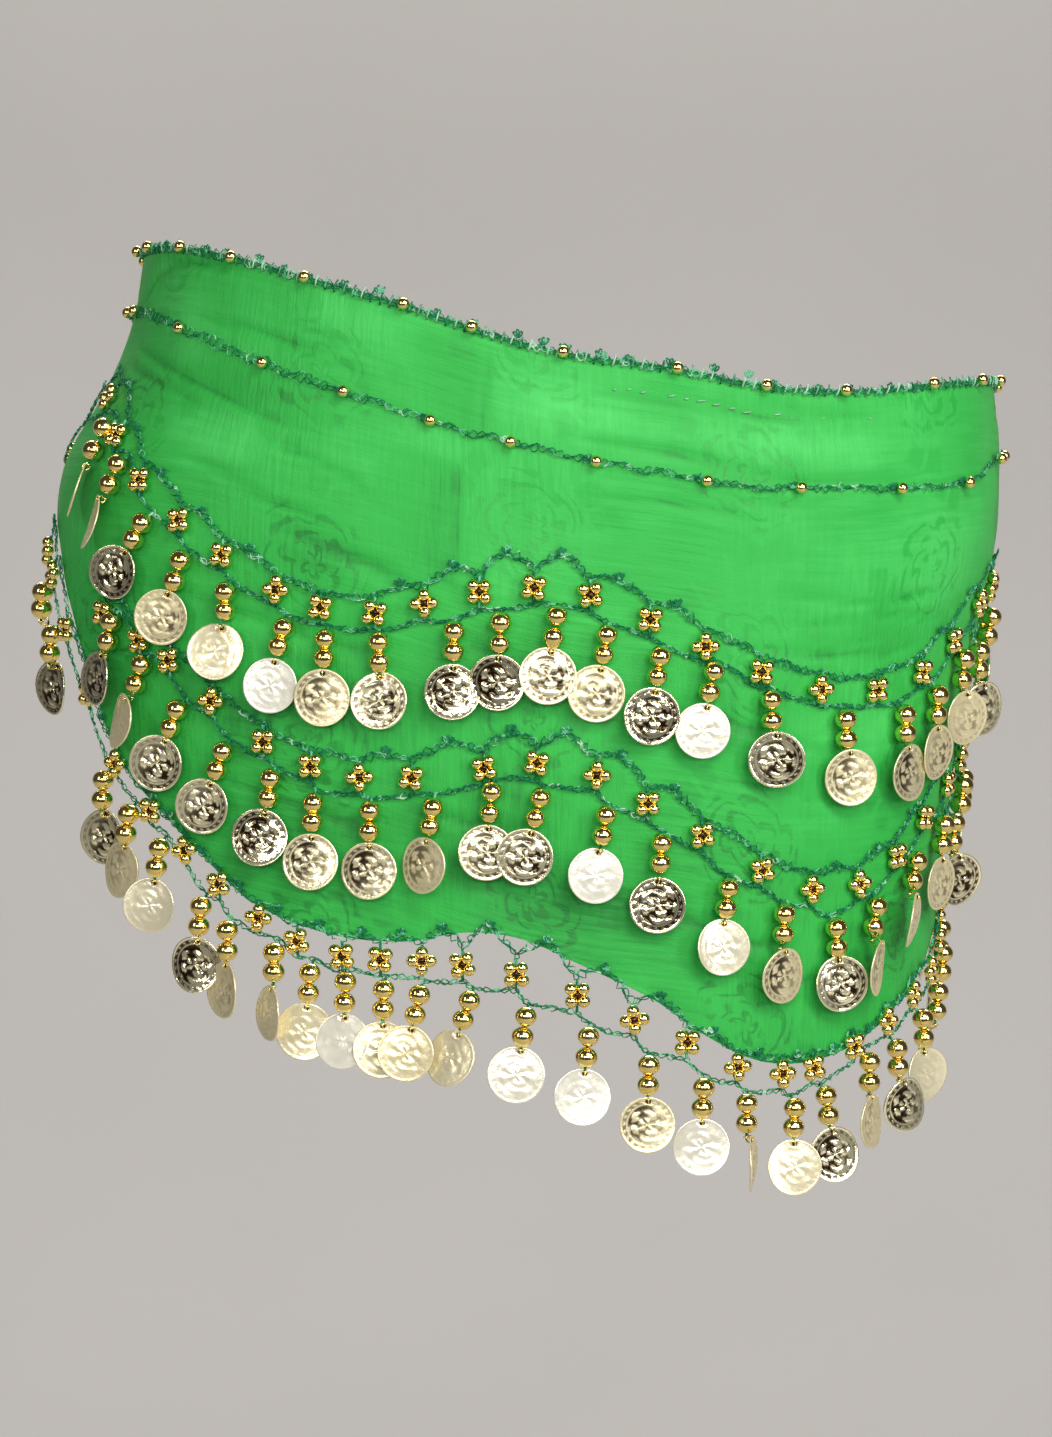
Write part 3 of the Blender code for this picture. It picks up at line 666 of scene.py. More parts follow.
class Shape:
    """Points and faces of one piece, gathered part by part: a material for each part, and a shade and a
    finish with painted reflection for each point."""

    def __init__(self):
        self.points = []
        self.faces = []
        self.kinds = []
        self.shades = []
        self.finishes_and_reflections = []
        self.count = 0

    def add(self, points, faces, kind=0, shade=0.5, finish_and_reflection=0.0):
        points = np.asarray(points, float).reshape(-1, 3)
        self.points.append(points)
        self.shades.append(np.broadcast_to(np.asarray(shade, float).reshape(-1), (len(points),)))
        self.finishes_and_reflections.append(np.full(len(points), finish_and_reflection))
        for block in faces:
            self.faces += (np.asarray(block) + self.count).tolist()
            self.kinds += [kind] * len(block)
        self.count += len(points)

    def tube(self, path, radius, out, sides=YARN_SIDES, closed=False, kind=0, shade=0.5):
        """A round strand along a path. Out is a direction across the path, or one for each of its points."""
        path = np.asarray(path, float)
        if closed:
            ahead = np.roll(path, -1, 0) - np.roll(path, 1, 0)
        else:
            ahead = np.gradient(path, axis=0)
        ahead = unit(ahead)
        across = unit(np.cross(ahead, np.broadcast_to(out, path.shape)))
        up = np.cross(across, ahead)
        turns = circle(sides)
        ring = np.cos(turns)[None, :, None] * across[:, None] + np.sin(turns)[None, :, None] * up[:, None]
        wide = np.broadcast_to(np.asarray(radius, float).reshape(-1), (len(path),))
        points = path[:, None] + ring * wide[:, None, None]
        count = len(path)
        stations = np.arange(count if closed else count - 1)
        around = np.arange(sides)
        a = stations[:, None] * sides + around
        b = stations[:, None] * sides + (around + 1) % sides
        c = (b + sides) % (count * sides)
        d = (a + sides) % (count * sides)
        faces = [np.stack([a, b, c, d], -1).reshape(-1, 4)]
        if not closed:
            faces.append(around[::-1][None])
            faces.append((around + (count - 1) * sides)[None])
        self.add(points, faces, kind, shade)

    def ball(self, centre, radii, axes, sides=12, rings=8, kind=0, shade=0.5, hole=0.0):
        """A bead. Its last axis is the one it is threaded along, and hole is the share taken off each end."""
        rise = np.linspace(-np.pi / 2, np.pi / 2, rings + 1)[1:-1]
        turn = circle(sides)
        x = np.cos(rise)[:, None] * np.cos(turn)
        y = np.cos(rise)[:, None] * np.sin(turn)
        z = np.sin(rise)[:, None] + 0 * turn
        body = np.stack([x, y, z], -1).reshape(-1, 3)
        tip = 1 - hole
        local = np.concatenate([body, [[0, 0, -tip], [0, 0, tip]]]) * np.asarray(radii, float)
        points = np.asarray(centre) + local @ np.asarray(axes)
        self.add(points, globe_faces(sides, rings - 1), kind, shade)

    def make(self, name, materials, slot, *nodes):
        mesh = bpy.data.meshes.new(name)
        mesh.from_pydata((np.concatenate(self.points) * MM).tolist(), [], self.faces)
        mesh.polygons.foreach_set("use_smooth", [True] * len(self.faces))
        mesh.polygons.foreach_set("material_index", self.kinds)
        for attribute, values in (("shade", self.shades), ("finish_and_reflection", self.finishes_and_reflections)):
            layer = mesh.attributes.new(attribute, "FLOAT", "POINT")
            layer.data.foreach_set("value", np.concatenate(values))
        for material in materials:
            mesh.materials.append(material)
        mesh.update()
        piece = put(name, mesh)
        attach(piece, "root")
        if nodes:
            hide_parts(*nodes)
        return piece


# Materials


class Nodes:
    """A material's node tree, with short calls for its nodes."""

    def __init__(self, name):
        self.material = bpy.data.materials.new(name)
        self.material.use_nodes = True
        self.tree = self.material.node_tree
        self.shader = self.tree.nodes["Principled BSDF"]

    def new(self, kind, **settings):
        node = self.tree.nodes.new(kind)
        for key, value in settings.items():
            setattr(node, key, value)
        return node

    def plug(self, value, socket):
        if isinstance(value, bpy.types.NodeSocket):
            self.tree.links.new(value, socket)
        else:
            socket.default_value = value

    def math(self, operation, *values):
        node = self.new("ShaderNodeMath", operation=operation)
        for k, value in enumerate(values):
            self.plug(value, node.inputs[k])
        return node.outputs[0]

    def times(self, *values):
        return self.math("MULTIPLY", *values)

    def plus(self, *values):
        return self.math("ADD", *values)

    def minus(self, *values):
        return self.math("SUBTRACT", *values)

    def place(self):
        """The point of the piece itself, in metres."""
        return self.new("ShaderNodeTexCoord").outputs["Object"]

    def blend(self, share, first, second):
        node = self.new("ShaderNodeMix", data_type="RGBA")
        self.plug(share, node.inputs["Factor"])
        self.plug(first, node.inputs["A"])
        self.plug(second, node.inputs["B"])
        return node.outputs["Result"]

    def between(self, value, low, high, to_low=0.0, to_high=1.0):
        node = self.new("ShaderNodeMapRange", interpolation_type="SMOOTHSTEP")
        for k, number in enumerate((value, low, high, to_low, to_high)):
            self.plug(number, node.inputs[k])
        return node.outputs["Result"]

    def noise(self, place, scale, detail=2.0, roughness=0.5):
        node = self.new("ShaderNodeTexNoise")
        self.plug(place, node.inputs["Vector"])
        self.plug(scale, node.inputs["Scale"])
        self.plug(detail, node.inputs["Detail"])
        self.plug(roughness, node.inputs["Roughness"])
        return node.outputs["Fac"]

    def attribute(self, name):
        node = self.new("ShaderNodeAttribute", attribute_name=name)
        return node.outputs["Fac"]

    def bump(self, height, strength, distance, under=None):
        node = self.new("ShaderNodeBump")
        self.plug(height, node.inputs["Height"])
        self.plug(strength, node.inputs["Strength"])
        self.plug(distance, node.inputs["Distance"])
        if under is not None:
            self.plug(under, node.inputs["Normal"])
        return node.outputs["Normal"]

    def set(self, **values):
        for name, value in values.items():
            self.plug(value, self.shader.inputs[name.replace("_", " ")])


# Roses in the cloth: repeat across and down and radius in m, how far the cells wander, a rose's petals and
# spiral, its outlines from the middle outwards, how far they wobble, and its leaves and their strength
ROSE_ACROSS = 0.074
ROSE_DOWN = 0.062
ROSE_RADIUS = 0.0190
ROSE_WANDER = 0.13
PETALS = 2.5
SPIRAL = 5.2
OUTLINES = 3.4
PETAL_WOBBLE = -0.62
LEAVES = 3.0
LEAF_STRENGTH = 0.55
FULL_TURN = 6.283


def rose_pattern(nodes, uv):
    """Share of the satin figure: roses of petal outlines with leaves round them, in a half-drop repeat."""

    def wander(scale):
        return nodes.times(nodes.minus(nodes.noise(uv, scale), 0.5), ROSE_WANDER)

    parts = nodes.new("ShaderNodeSeparateXYZ")
    nodes.plug(uv, parts.inputs[0])
    u = nodes.plus(nodes.math("DIVIDE", parts.outputs[0], ROSE_ACROSS), wander(60.0))
    column = nodes.math("FLOOR", u)
    shift = nodes.times(nodes.math("FLOORED_MODULO", column, 2.0), 0.5)
    down = nodes.plus(nodes.math("DIVIDE", parts.outputs[1], ROSE_DOWN), shift)
    v = nodes.plus(down, wander(77.0))
    row = nodes.math("FLOOR", v)
    x = nodes.times(nodes.minus(nodes.minus(u, column), 0.5), ROSE_ACROSS)
    y = nodes.times(nodes.minus(nodes.minus(v, row), 0.5), ROSE_DOWN)
    cell = nodes.new("ShaderNodeCombineXYZ")
    nodes.plug(column, cell.inputs[0])
    nodes.plug(row, cell.inputs[1])
    lottery = nodes.new("ShaderNodeTexWhiteNoise")
    nodes.plug(cell.outputs[0], lottery.inputs["Vector"])
    turned = nodes.times(lottery.outputs["Value"], FULL_TURN)
    bearing = nodes.plus(nodes.math("ARCTAN2", y, x), turned)
    reach = nodes.math("SQRT", nodes.plus(nodes.times(x, x), nodes.times(y, y)))
    share = nodes.math("DIVIDE", reach, ROSE_RADIUS)
    spiral = nodes.plus(nodes.times(bearing, PETALS), nodes.times(share, SPIRAL))
    petals = nodes.math("ABSOLUTE", nodes.math("SINE", spiral))
    outline = nodes.plus(nodes.times(share, OUTLINES), nodes.times(petals, PETAL_WOBBLE))
    wave = nodes.math("SINE", nodes.times(outline, FULL_TURN))
    broken = nodes.between(nodes.noise(uv, 140.0), 0.36, 0.52)
    lines = nodes.times(nodes.between(wave, 0.0, 0.85), broken)
    rose = nodes.times(lines, nodes.between(share, 1.08, 0.98))
    leaf_turn = nodes.math("COSINE", nodes.times(bearing, LEAVES))
    rib = nodes.math("ABSOLUTE", nodes.math("SINE", nodes.times(bearing, LEAVES / 2)))
    leaf = nodes.times(nodes.between(leaf_turn, 0.45, 0.7), nodes.between(rib, 0.03, 0.10))
    beyond = nodes.times(nodes.between(share, 1.12, 1.22), nodes.between(share, 1.66, 1.5))
    leaves = nodes.times(nodes.times(leaf, beyond), LEAF_STRENGTH)
    return nodes.math("MAXIMUM", rose, leaves)


def stretched(nodes, uv, across, down):
    """Noise drawn out along one way of the cloth."""
    mapping = nodes.new("ShaderNodeMapping")
    nodes.plug(uv, mapping.inputs["Vector"])
    nodes.plug((across, down, 1.0), mapping.inputs["Scale"])
    return nodes.noise(mapping.outputs["Vector"], 1.0, 3.0)


# How strongly the cloth's tone changes with the mottle and the strokes, and how much darker the figure is
MOTTLE_STRENGTH = 0.40
STROKE_STRENGTH = 0.40
FIGURE_DARKER = 0.19


def chiffon_material():
    """Bright green chiffon with satin roses in its own colour, a fine crinkle and a soft sheen."""
    nodes = Nodes("green_chiffon")
    uv = nodes.new("ShaderNodeUVMap", uv_map="flat").outputs["UV"]
    shade = nodes.attribute("shade")
    figure = rose_pattern(nodes, uv)
    mottle = nodes.noise(uv, 34.0, 4.0, 0.6)
    upright = stretched(nodes, uv, 620.0, 60.0)
    level = stretched(nodes, uv, 34.0, 480.0)
    where = nodes.between(nodes.noise(uv, 17.0, 1.0), 0.34, 0.66)
    strokes = nodes.plus(
        nodes.times(nodes.minus(upright, 0.5), where),
        nodes.times(nodes.minus(level, 0.5), nodes.minus(1.0, where)),
    )
    # The shade attribute carries the painted light and shade worked out in cloth_tone; the mottle, strokes
    # and figure are the cloth's own tone.
    tone = nodes.plus(shade, nodes.times(nodes.minus(mottle, 0.5), MOTTLE_STRENGTH))
    tone = nodes.plus(tone, nodes.times(strokes, STROKE_STRENGTH))
    tone = nodes.minus(tone, nodes.times(figure, FIGURE_DARKER))
    deep = nodes.blend(nodes.between(tone, 0.0, 0.5), GREEN_DEEP, GREEN_MID)
    colour = nodes.blend(nodes.between(tone, 0.45, 1.0), deep, GREEN_LIT)
    fine = nodes.bump(nodes.noise(uv, 1100.0), 0.35, 0.0003)
    crinkle = nodes.bump(strokes, 0.5, 0.0008, fine)
    nodes.set(
        Base_Color=colour,
        Roughness=nodes.between(figure, 0.0, 1.0, 0.60, 0.46),
        Normal=nodes.bump(figure, 0.16, 0.0005, crinkle),
        Sheen_Weight=0.12,
        Sheen_Roughness=0.5,
        Specular_IOR_Level=0.28,
    )
    nodes.shader.inputs["Sheen Tint"].default_value = (0.45, 1.0, 0.5, 1.0)
    return nodes.material


def yarn_material():
    """Dark teal crochet yarn that turns mint in places, as a dyed yarn does."""
    nodes = Nodes("teal_crochet")
    place = nodes.place()
    flecks = nodes.between(nodes.noise(place, 330.0), 0.53, 0.61)
    bright = nodes.between(nodes.noise(place, 190.0), 0.62, 0.70)
    depth = nodes.noise(place, 800.0)
    body = nodes.blend(nodes.between(depth, 0.3, 0.65), TEAL_DEEP, TEAL)
    dyed = nodes.blend(flecks, body, MINT)
    pale = nodes.math("MAXIMUM", bright, nodes.between(nodes.attribute("shade"), 0.6, 1.0))
    nodes.set(
        Base_Color=nodes.blend(nodes.times(pale, 0.85), dyed, PALE_MINT),
        Roughness=0.65,
        Normal=nodes.bump(nodes.noise(place, 1900.0), 0.5, 0.0003),
        Specular_IOR_Level=0.25,
    )
    return nodes.material


def bead_material():
    nodes = Nodes("gold_beads")
    place = nodes.place()
    wear = nodes.noise(place, 260.0, 3.0)
    nodes.set(
        Base_Color=BEAD_GOLD,
        Metallic=1.0,
        Roughness=nodes.between(wear, 0.3, 0.8, 0.09, 0.20),
        Normal=nodes.bump(wear, 0.05, 0.0005),
    )
    return nodes.material


def coin_material():
    """Pale gold metal with dark hollows of patina and painted reflection. Its finish runs from bright by way
    of matt to white, a painted glare.
    """
    nodes = Nodes("gold_coins")
    place = nodes.place()
    finish_and_reflection = nodes.attribute("finish_and_reflection")
    wear = nodes.noise(place, 300.0, 3.0)
    worn = nodes.blend(nodes.between(finish_and_reflection, 0.3, 0.5), COIN_GOLD, COIN_MATT)
    # The brightest finishes turn white: a painted glare.
    lit = nodes.blend(nodes.between(finish_and_reflection, 0.65, 0.95), worn, COIN_PAINTED_GLARE)
    matt = nodes.times(nodes.between(finish_and_reflection, 0.32, 0.5), nodes.between(finish_and_reflection, 0.95, 0.6, 0.35, 1.0))
    rough = nodes.plus(nodes.times(matt, 0.20), nodes.between(wear, 0.3, 0.8, 0.07, 0.15))
    struck = nodes.bump(nodes.noise(place, 760.0), nodes.between(finish_and_reflection, 0.95, 0.5, 0.06, 0.30), 0.0004)
    nodes.set(
        # Hollows take the dark colour: patina and painted dark reflection.
        Base_Color=nodes.blend(nodes.between(nodes.attribute("shade"), 0.1, 0.75), COIN_PATINA_AND_SHADE, lit),
        Metallic=nodes.between(finish_and_reflection, 0.15, 0.60, 0.86, 0.48),
        Roughness=rough,
        Normal=struck,
    )
    return nodes.material


# Cloth


def cloth_tone(angle, drop):
    """Tone of the cloth from 0, deep, to 1, pale: soft patches of painted shade and light, edges between
    tones and painted shade along the creases.
    """
    tone = UPPER_TONE - LOWER_DARKER * smooth_step((drop - DARKER_FROM) / DARKER_OVER)
    for patch_angle, patch_drop, half_width, half_height, change in SHADE_AND_LIGHT_PATCHES:
        x = (angle - patch_angle) * MM_PER_DEGREE / half_width
        y = (drop - patch_drop) / half_height
        tone = tone + PATCH_STRENGTH * change * np.exp(-(x * x + y * y))
    for edge_angle, edge_lean, from_drop, to_drop, reach, change in TONE_EDGES:
        x = (angle - edge_angle - edge_lean * (drop - from_drop)) * MM_PER_DEGREE
        beside = smooth_step(-x / TONE_EDGE_WIDTH + 0.5) * np.exp(-((np.clip(-x, 0, None) / reach) ** 3))
        below_top = smooth_step((drop - from_drop) / TONE_EDGE_IN)
        above_foot = smooth_step((to_drop - drop) / TONE_EDGE_OUT)
        tone = tone + change * beside * below_top * above_foot
    # Painted shade: the cloth is darkened along every crease.
    deep, half_width = CREASE_COLUMNS[5:7]
    t, away = crease_lines(angle, drop)
    painted_crease_shade = deep * np.sin(np.pi * t) ** DARK_FADE * np.exp(-((away / (DARK_WIDTH * half_width)) ** 2))
    return np.clip(tone - CREASE_PAINTED_SHADE * painted_crease_shade.sum(-1), 0.02, 1.0)


def grid_faces(count_u, count_v):
    """Faces of a wall between two grids of points, its outer face first, closed along its four edges."""
    back = count_u * count_v
    u = np.arange(count_u - 1)[:, None]
    v = np.arange(count_v - 1)[None]
    a = u * count_v + v
    b = a + count_v
    face = np.stack([a, a + 1, b + 1, b], -1).reshape(-1, 4)
    blocks = [face[:, ::-1], face + back]
    across = np.arange(count_u - 1) * count_v
    down = np.arange(count_v - 1)
    edges = [(across, count_v, 1), (across + count_v - 1, count_v, -1)]
    edges += [(down, 1, -1), (down + back - count_v, 1, 1)]
    for a, step, turn in edges:
        blocks.append(np.stack([a, a + step, a + step + back, a + back], -1)[:, ::turn])
    return blocks


def lay_flat(piece, across, down):
    """Gives a cloth the map 'flat', in metres on the uncut cloth, one pair for each of its points."""
    mesh = piece.data
    corners = np.empty(len(mesh.loops), np.int32)
    mesh.loops.foreach_get("vertex_index", corners)
    flat = np.stack([across.reshape(-1)[corners], down.reshape(-1)[corners]], -1) * MM
    layer = mesh.uv_layers.new(name="flat")
    layer.data.foreach_set("uv", flat.reshape(-1))


def make_wall(name, node, material, outer, inner, tone, across, down, turned=False):
    """A cloth between two grids of points, and the area of its outer face."""
    blocks = grid_faces(*tone.shape)
    if turned:
        blocks = [block[:, ::-1] for block in blocks]
    shape = Shape()
    shape.add(np.stack([outer, inner]), blocks, shade=np.stack([tone, tone]))
    piece = shape.make(name, [material], "chiffon", node)
    lay_flat(piece, np.stack([across, across]), np.stack([down, down]))
    one_way = outer[1:, 1:] - outer[:-1, :-1]
    other_way = outer[:-1, 1:] - outer[1:, :-1]
    return piece, np.linalg.norm(np.cross(one_way, other_way), axis=-1).sum() / 2


def cloth_columns():
    """Angles of the cloth's columns, closer together across the front."""
    front = np.arange(-FRONT_HALF, FRONT_HALF + 0.1, FRONT_STEP)
    side_count = int((WRAP_END - FRONT_HALF) / SIDE_STEP) + 1
    right = np.linspace(front[-1], WRAP_END, side_count + 1)[1:]
    left = np.linspace(front[0], -WRAP_END, side_count + 1)[1:][::-1]
    return np.concatenate([left, front, right])


def make_cloth(material):
    """The length of chiffon round the hips, its flat size and area measured on its own face."""
    columns = cloth_columns()
    angle = np.repeat(columns[:, None], CLOTH_ROWS + 1, 1)
    share = np.linspace(0, 1, CLOTH_ROWS + 1)[None]
    drop = read_table(HEM, columns)[:, None] * share
    height = top_at(columns)[:, None] - drop
    outer = form(angle, height)
    inner = outer - out_from(angle, height) * CLOTH_THICK
    run = run_along(form(columns, top_at(columns) - RUN_BELOW_TOP))
    across = np.repeat(run[:, None], CLOTH_ROWS + 1, 1)
    tone = cloth_tone(angle, drop)
    piece, area = make_wall("scarf_cloth", "scarf_wrap", material, outer, inner, tone, across, drop)
    return piece, run[-1], area


def knot_middle():
    height = top_at(180.0) - read_table(HEM, 180.0) / 2
    return np.array([0, form_back(height), height])


def form_back(height):
    """How far back the plain form lies at its middle."""
    return read_table(SECTIONS, height, 4)


def make_knot(material):
    """Plain knot: a pleated turn of cloth over a lump of cloth drawn in towards it."""
    middle = knot_middle()
    rise = np.pi * (np.arange(1, KNOT_RINGS) / KNOT_RINGS - 0.5)[:, None]
    turn = circle(KNOT_SIDES)[None]
    x = np.cos(rise) * np.sin(turn)
    y = np.cos(rise) * np.cos(turn)
    z = np.sin(rise) + 0 * turn
    power = np.abs(x) ** KNOT_SQUARENESS + np.abs(y) ** KNOT_SQUARENESS + np.abs(z) ** KNOT_SQUARENESS
    reach = power ** (-1 / KNOT_SQUARENESS)
    slanted = x - KNOT_TURN_SLANT * z
    band = np.exp(-((slanted / KNOT_TURN_WIDTH) ** 4))
    outward = np.clip(y, 0, 1)
    band_pleats = KNOT_PLEAT * np.sin(slanted * 34 + 2.2 * z)
    band_pleats = band_pleats + KNOT_FINE_PLEAT * np.sin(slanted * 57 - 3.0 * z)
    drawn = KNOT_DRAWN * np.sin(11 * np.arctan2(z, np.abs(x) + 0.15) + 2.0 * np.sign(x))
    detail = outward * (band * band_pleats + (1 - band) * drawn * np.clip(np.abs(x) * 2, 0, 1))
    deep = np.where(y > 0, KNOT_OUT, KNOT_IN)
    raised = np.where(y > 0, KNOT_TURN_RISE * band, 0.0)
    points = np.stack(
        [
            reach * x * (KNOT_HALF_WIDTH + detail * 0.6),
            reach * y * (deep + detail) + raised * outward,
            reach * z * (KNOT_HALF_HEIGHT + detail * 0.6),
        ],
        -1,
    ).reshape(-1, 3) + middle
    ends = np.array([middle - (0, 0, KNOT_HALF_HEIGHT), middle + (0, 0, KNOT_HALF_HEIGHT)])
    # Painted shade in the hollows of the pleats, painted light on their crests and on the raised turn.
    tone = np.concatenate([(0.5 + 0.22 * detail / KNOT_DRAWN + 0.08 * band).reshape(-1), [0.4, 0.4]])
    faces = [block[:, ::-1] for block in globe_faces(KNOT_SIDES, KNOT_RINGS - 1)]
    shape = Shape()
    shape.add(np.concatenate([points, ends]), faces, shade=tone)
    piece = shape.make("knot_cloth", [material], "chiffon", "knot")
    across = np.append((turn * KNOT_FLAT_ACROSS + 0 * z).reshape(-1), [0, 0])
    down = np.append((rise * KNOT_FLAT_DOWN + 0 * turn).reshape(-1), [0, 0])
    lay_flat(piece, across, down)


def make_tail(name, hand, material, node):
    """One end of the scarf below the knot, finely pleated where it leaves the knot and spreading below it."""
    start = knot_middle()[2] - KNOT_HALF_HEIGHT
    t = np.linspace(0, 1, TAIL_DOWN + 1)[:, None]
    share = np.linspace(0, 1, TAIL_ACROSS + 1)[None]
    height = start - TAIL_LENGTH * t
    centre = hand * (TAIL_START + TAIL_SPREAD * t)
    width = TAIL_TOP_WIDTH + (TAIL_END_WIDTH - TAIL_TOP_WIDTH) * t ** TAIL_WIDENING
    broad = TAIL_PLEAT_DEPTH * np.sin(2 * np.pi * TAIL_PLEATS * share + TAIL_PLEAT_DRIFT * t)
    number, depth = TAIL_FINE
    fine = depth * (1 - t) ** 1.5 * np.sin(2 * np.pi * number * share + 1.5 * hand)
    number, depth = TAIL_WAVES
    fine = fine + depth * np.sin(2 * np.pi * number * share - 3 * t + hand)
    x = centre + width * (share - 0.5)
    y = form_back(height) + TAIL_STAND_OFF + broad + fine
    z = height + 0 * share
    outer = np.stack([x, y, z], -1)
    inner = outer - (0, CLOTH_THICK, 0)
    # Painted light on the pleats that stand out, painted shade on those that fall back and at the top, under
    # the knot.
    tone = np.clip(0.55 + 0.12 * (broad + fine) / TAIL_PLEAT_DEPTH - 0.2 * (1 - t) ** 3, 0, 1)
    across = np.stack([run_along(row) for row in outer])
    down = t * TAIL_LENGTH + 0 * share
    return make_wall(name, node, material, outer, inner, tone, across, down, turned=True)


# Crochet and beads


def steps_along(path, step):
    """Distances along a path to each of its points, and to places a step apart."""
    run = run_along(path)
    return run, np.linspace(0, run[-1], max(int(run[-1] / step), 2) + 1)


def resample(path, step):
    """The same path with its points a step apart."""
    run, at = steps_along(path, step)
    return np.stack([np.interp(at, run, column) for column in path.T], -1)


def lace(shape, angle, height, half, out=CHAIN_OUT, radius=YARN_RADIUS, phase=0.0):
    """Crochet along a line on the cloth: three thin strands that loop over one another with small gaps."""
    run, at = steps_along(form(angle, height), YARN_STEP)
    wide = np.interp(at, run, np.broadcast_to(half, run.shape))
    angle = np.interp(at, run, angle)
    height = np.interp(at, run, height)
    outward = out_from(angle, height)
    middle = form(angle, height) + outward * out
    ahead = unit(np.gradient(middle, axis=0))
    across = unit(np.cross(outward, ahead))
    quick, slow = LACE_UNEVEN
    wide = wide * (1 + quick * np.sin(at * 0.83 + 2 * phase) + slow * np.sin(at * 0.31 + phase))
    for strand in range(3):
        turn = 2 * np.pi * (at / LACE_PITCH + strand / 3) + phase + 0.9 * np.sin(at * 0.41 + 2 * strand)
        stray = LACE_STRAY * np.sin(at * 2.1 + 3 * strand + phase)
        path = middle + across * (wide * np.sin(turn) + stray)[:, None]
        shape.tube(path + outward * (LACE_LIFT * np.sin(2 * turn))[:, None], radius, outward)


def line_heights(line, angles):
    return top_at(angles) - read_table(line, angles)


def walk_angles(line, start, pitch, count, way):
    """Angles a pitch apart along a line on the form, measured level over the cloth."""
    found = []
    angle = start
    while len(found) < count:
        run = 0.0
        while run < pitch:
            height = float(line_heights(line, angle))
            step = np.linalg.norm(form(angle + way * WALK_STEP, height) - form(angle, height))
            run += step
            angle += way * WALK_STEP
        angle -= way * WALK_STEP * (run - pitch) / step
        found.append(angle)
    return found


def flower(shape, angle, height, number):
    """Four small beads in a cluster, some clusters turned on their point, sewn down with yarn."""
    turned = 45 if chance(number, angle) < TURNED_SHARE else 0
    stray = vary(-FLOWER_STRAY, FLOWER_STRAY, number, angle, 2)
    place, across, up, outward = frame_at(angle, height, turned + stray, BEAD_OUT)
    for k, (i, j) in enumerate(((1, 1), (1, -1), (-1, -1), (-1, 1))):
        wobble = vary(-BEAD_4_STRAY, BEAD_4_STRAY, number, k, 3)
        centre = place + (across * i + up * j) * (BEAD_4_SPREAD / math.sqrt(2) + wobble)
        radius = BEAD_4 * vary(*BEAD_4_SIZES, number, k, 5)
        shape.ball(centre, (radius, radius, radius * BEAD_FLAT), (across, up, outward), kind=0)
    # A dark ball painted as the shadow between the four beads.
    shape.ball(place - outward * 0.3, FLOWER_SHADOW_BALL, (across, up, outward), 10, 6, kind=1, shade=0.0)


def small_bead(shape, angle, height):
    place, *axes = frame_at(angle, height, 0, SMALL_BEAD_OUT)
    shape.ball(place, (SMALL_BEAD, SMALL_BEAD, SMALL_BEAD * SMALL_BEAD_FLAT), axes, 14, 9)


def coin_relief(share, bearing):
    """Raised work of a coin: a rim, a ring of dots and an abstract swirl in the middle."""

    def ridge(high, at, over):
        return high * np.exp(-(((share - at) / over) ** 2))

    high, at, over = COIN_RIM
    rim = high * smooth_step((share - at) / over)
    dots = ridge(*COIN_DOT_RING) * np.clip(np.cos(COIN_DOTS * bearing), 0, 1)
    swirl = np.sin(3 * bearing + 9 * share) * np.sin(13 * share - 2 * bearing + 1.3 * np.sin(2 * bearing))
    high, at, over = COIN_MIDDLE
    middle = high * np.tanh(2.6 * swirl) * smooth_step((at - share) / over)
    return rim + dots + middle + ridge(*COIN_LINE)


def coin_template():
    """A thin stamped disc with a hole near its top: local points, faces and the height of its relief."""
    bearing = circle(COIN_SPOKES)
    share = np.array(COIN_RINGS)[:, None]
    x = np.concatenate([[0.0], (share * np.sin(bearing)).reshape(-1)]) * COIN_RADIUS
    y = np.concatenate([[0.0], (share * np.cos(bearing)).reshape(-1)]) * COIN_RADIUS
    height = np.concatenate([[0.1], coin_relief(share, bearing[None]).reshape(-1)])
    beside = np.hypot(x, y - COIN_HOLE_AT)
    gone = beside < COIN_HOLE
    around = np.arange(COIN_SPOKES)
    after = (around + 1) % COIN_SPOKES
    first = [[0, 1 + a, 1 + b] for a, b in zip(around, after)]
    quads = []
    for ring in range(len(COIN_RINGS) - 1):
        a = 1 + ring * COIN_SPOKES
        b = a + COIN_SPOKES
        quads += [[a + i, b + i, b + j, a + j] for i, j in zip(around, after)]
    kept = [face for face in first + quads if not any(gone[p] for p in face)]
    cut = {p for face in quads if any(gone[p] for p in face) for p in face if not gone[p]}
    for p in cut:
        scale = COIN_HOLE / beside[p]
        x[p] *= scale
        y[p] = COIN_HOLE_AT + (y[p] - COIN_HOLE_AT) * scale
        height[p] = 0.05
    edges = {}
    for face in kept:
        for a, b in zip(face, face[1:] + face[:1]):
            edges[(a, b)] = True
    border = [(a, b) for a, b in edges if (b, a) not in edges]
    count = len(x)
    used = np.zeros(count, bool)
    used[[p for face in kept for p in face]] = True
    index = np.cumsum(used) - 1
    total = int(used.sum())
    front = [[index[p] for p in face][::-1] for face in kept]
    back = [[index[p] + total for p in face] for face in kept]
    walls = [[index[a], index[b], index[b] + total, index[a] + total] for a, b in border]
    faces = [
        np.array([f for f in front + back if len(f) == 3]),
        np.array([f for f in front + back if len(f) == 4]),
        np.array(walls),
    ]
    return x[used], y[used], height[used], faces


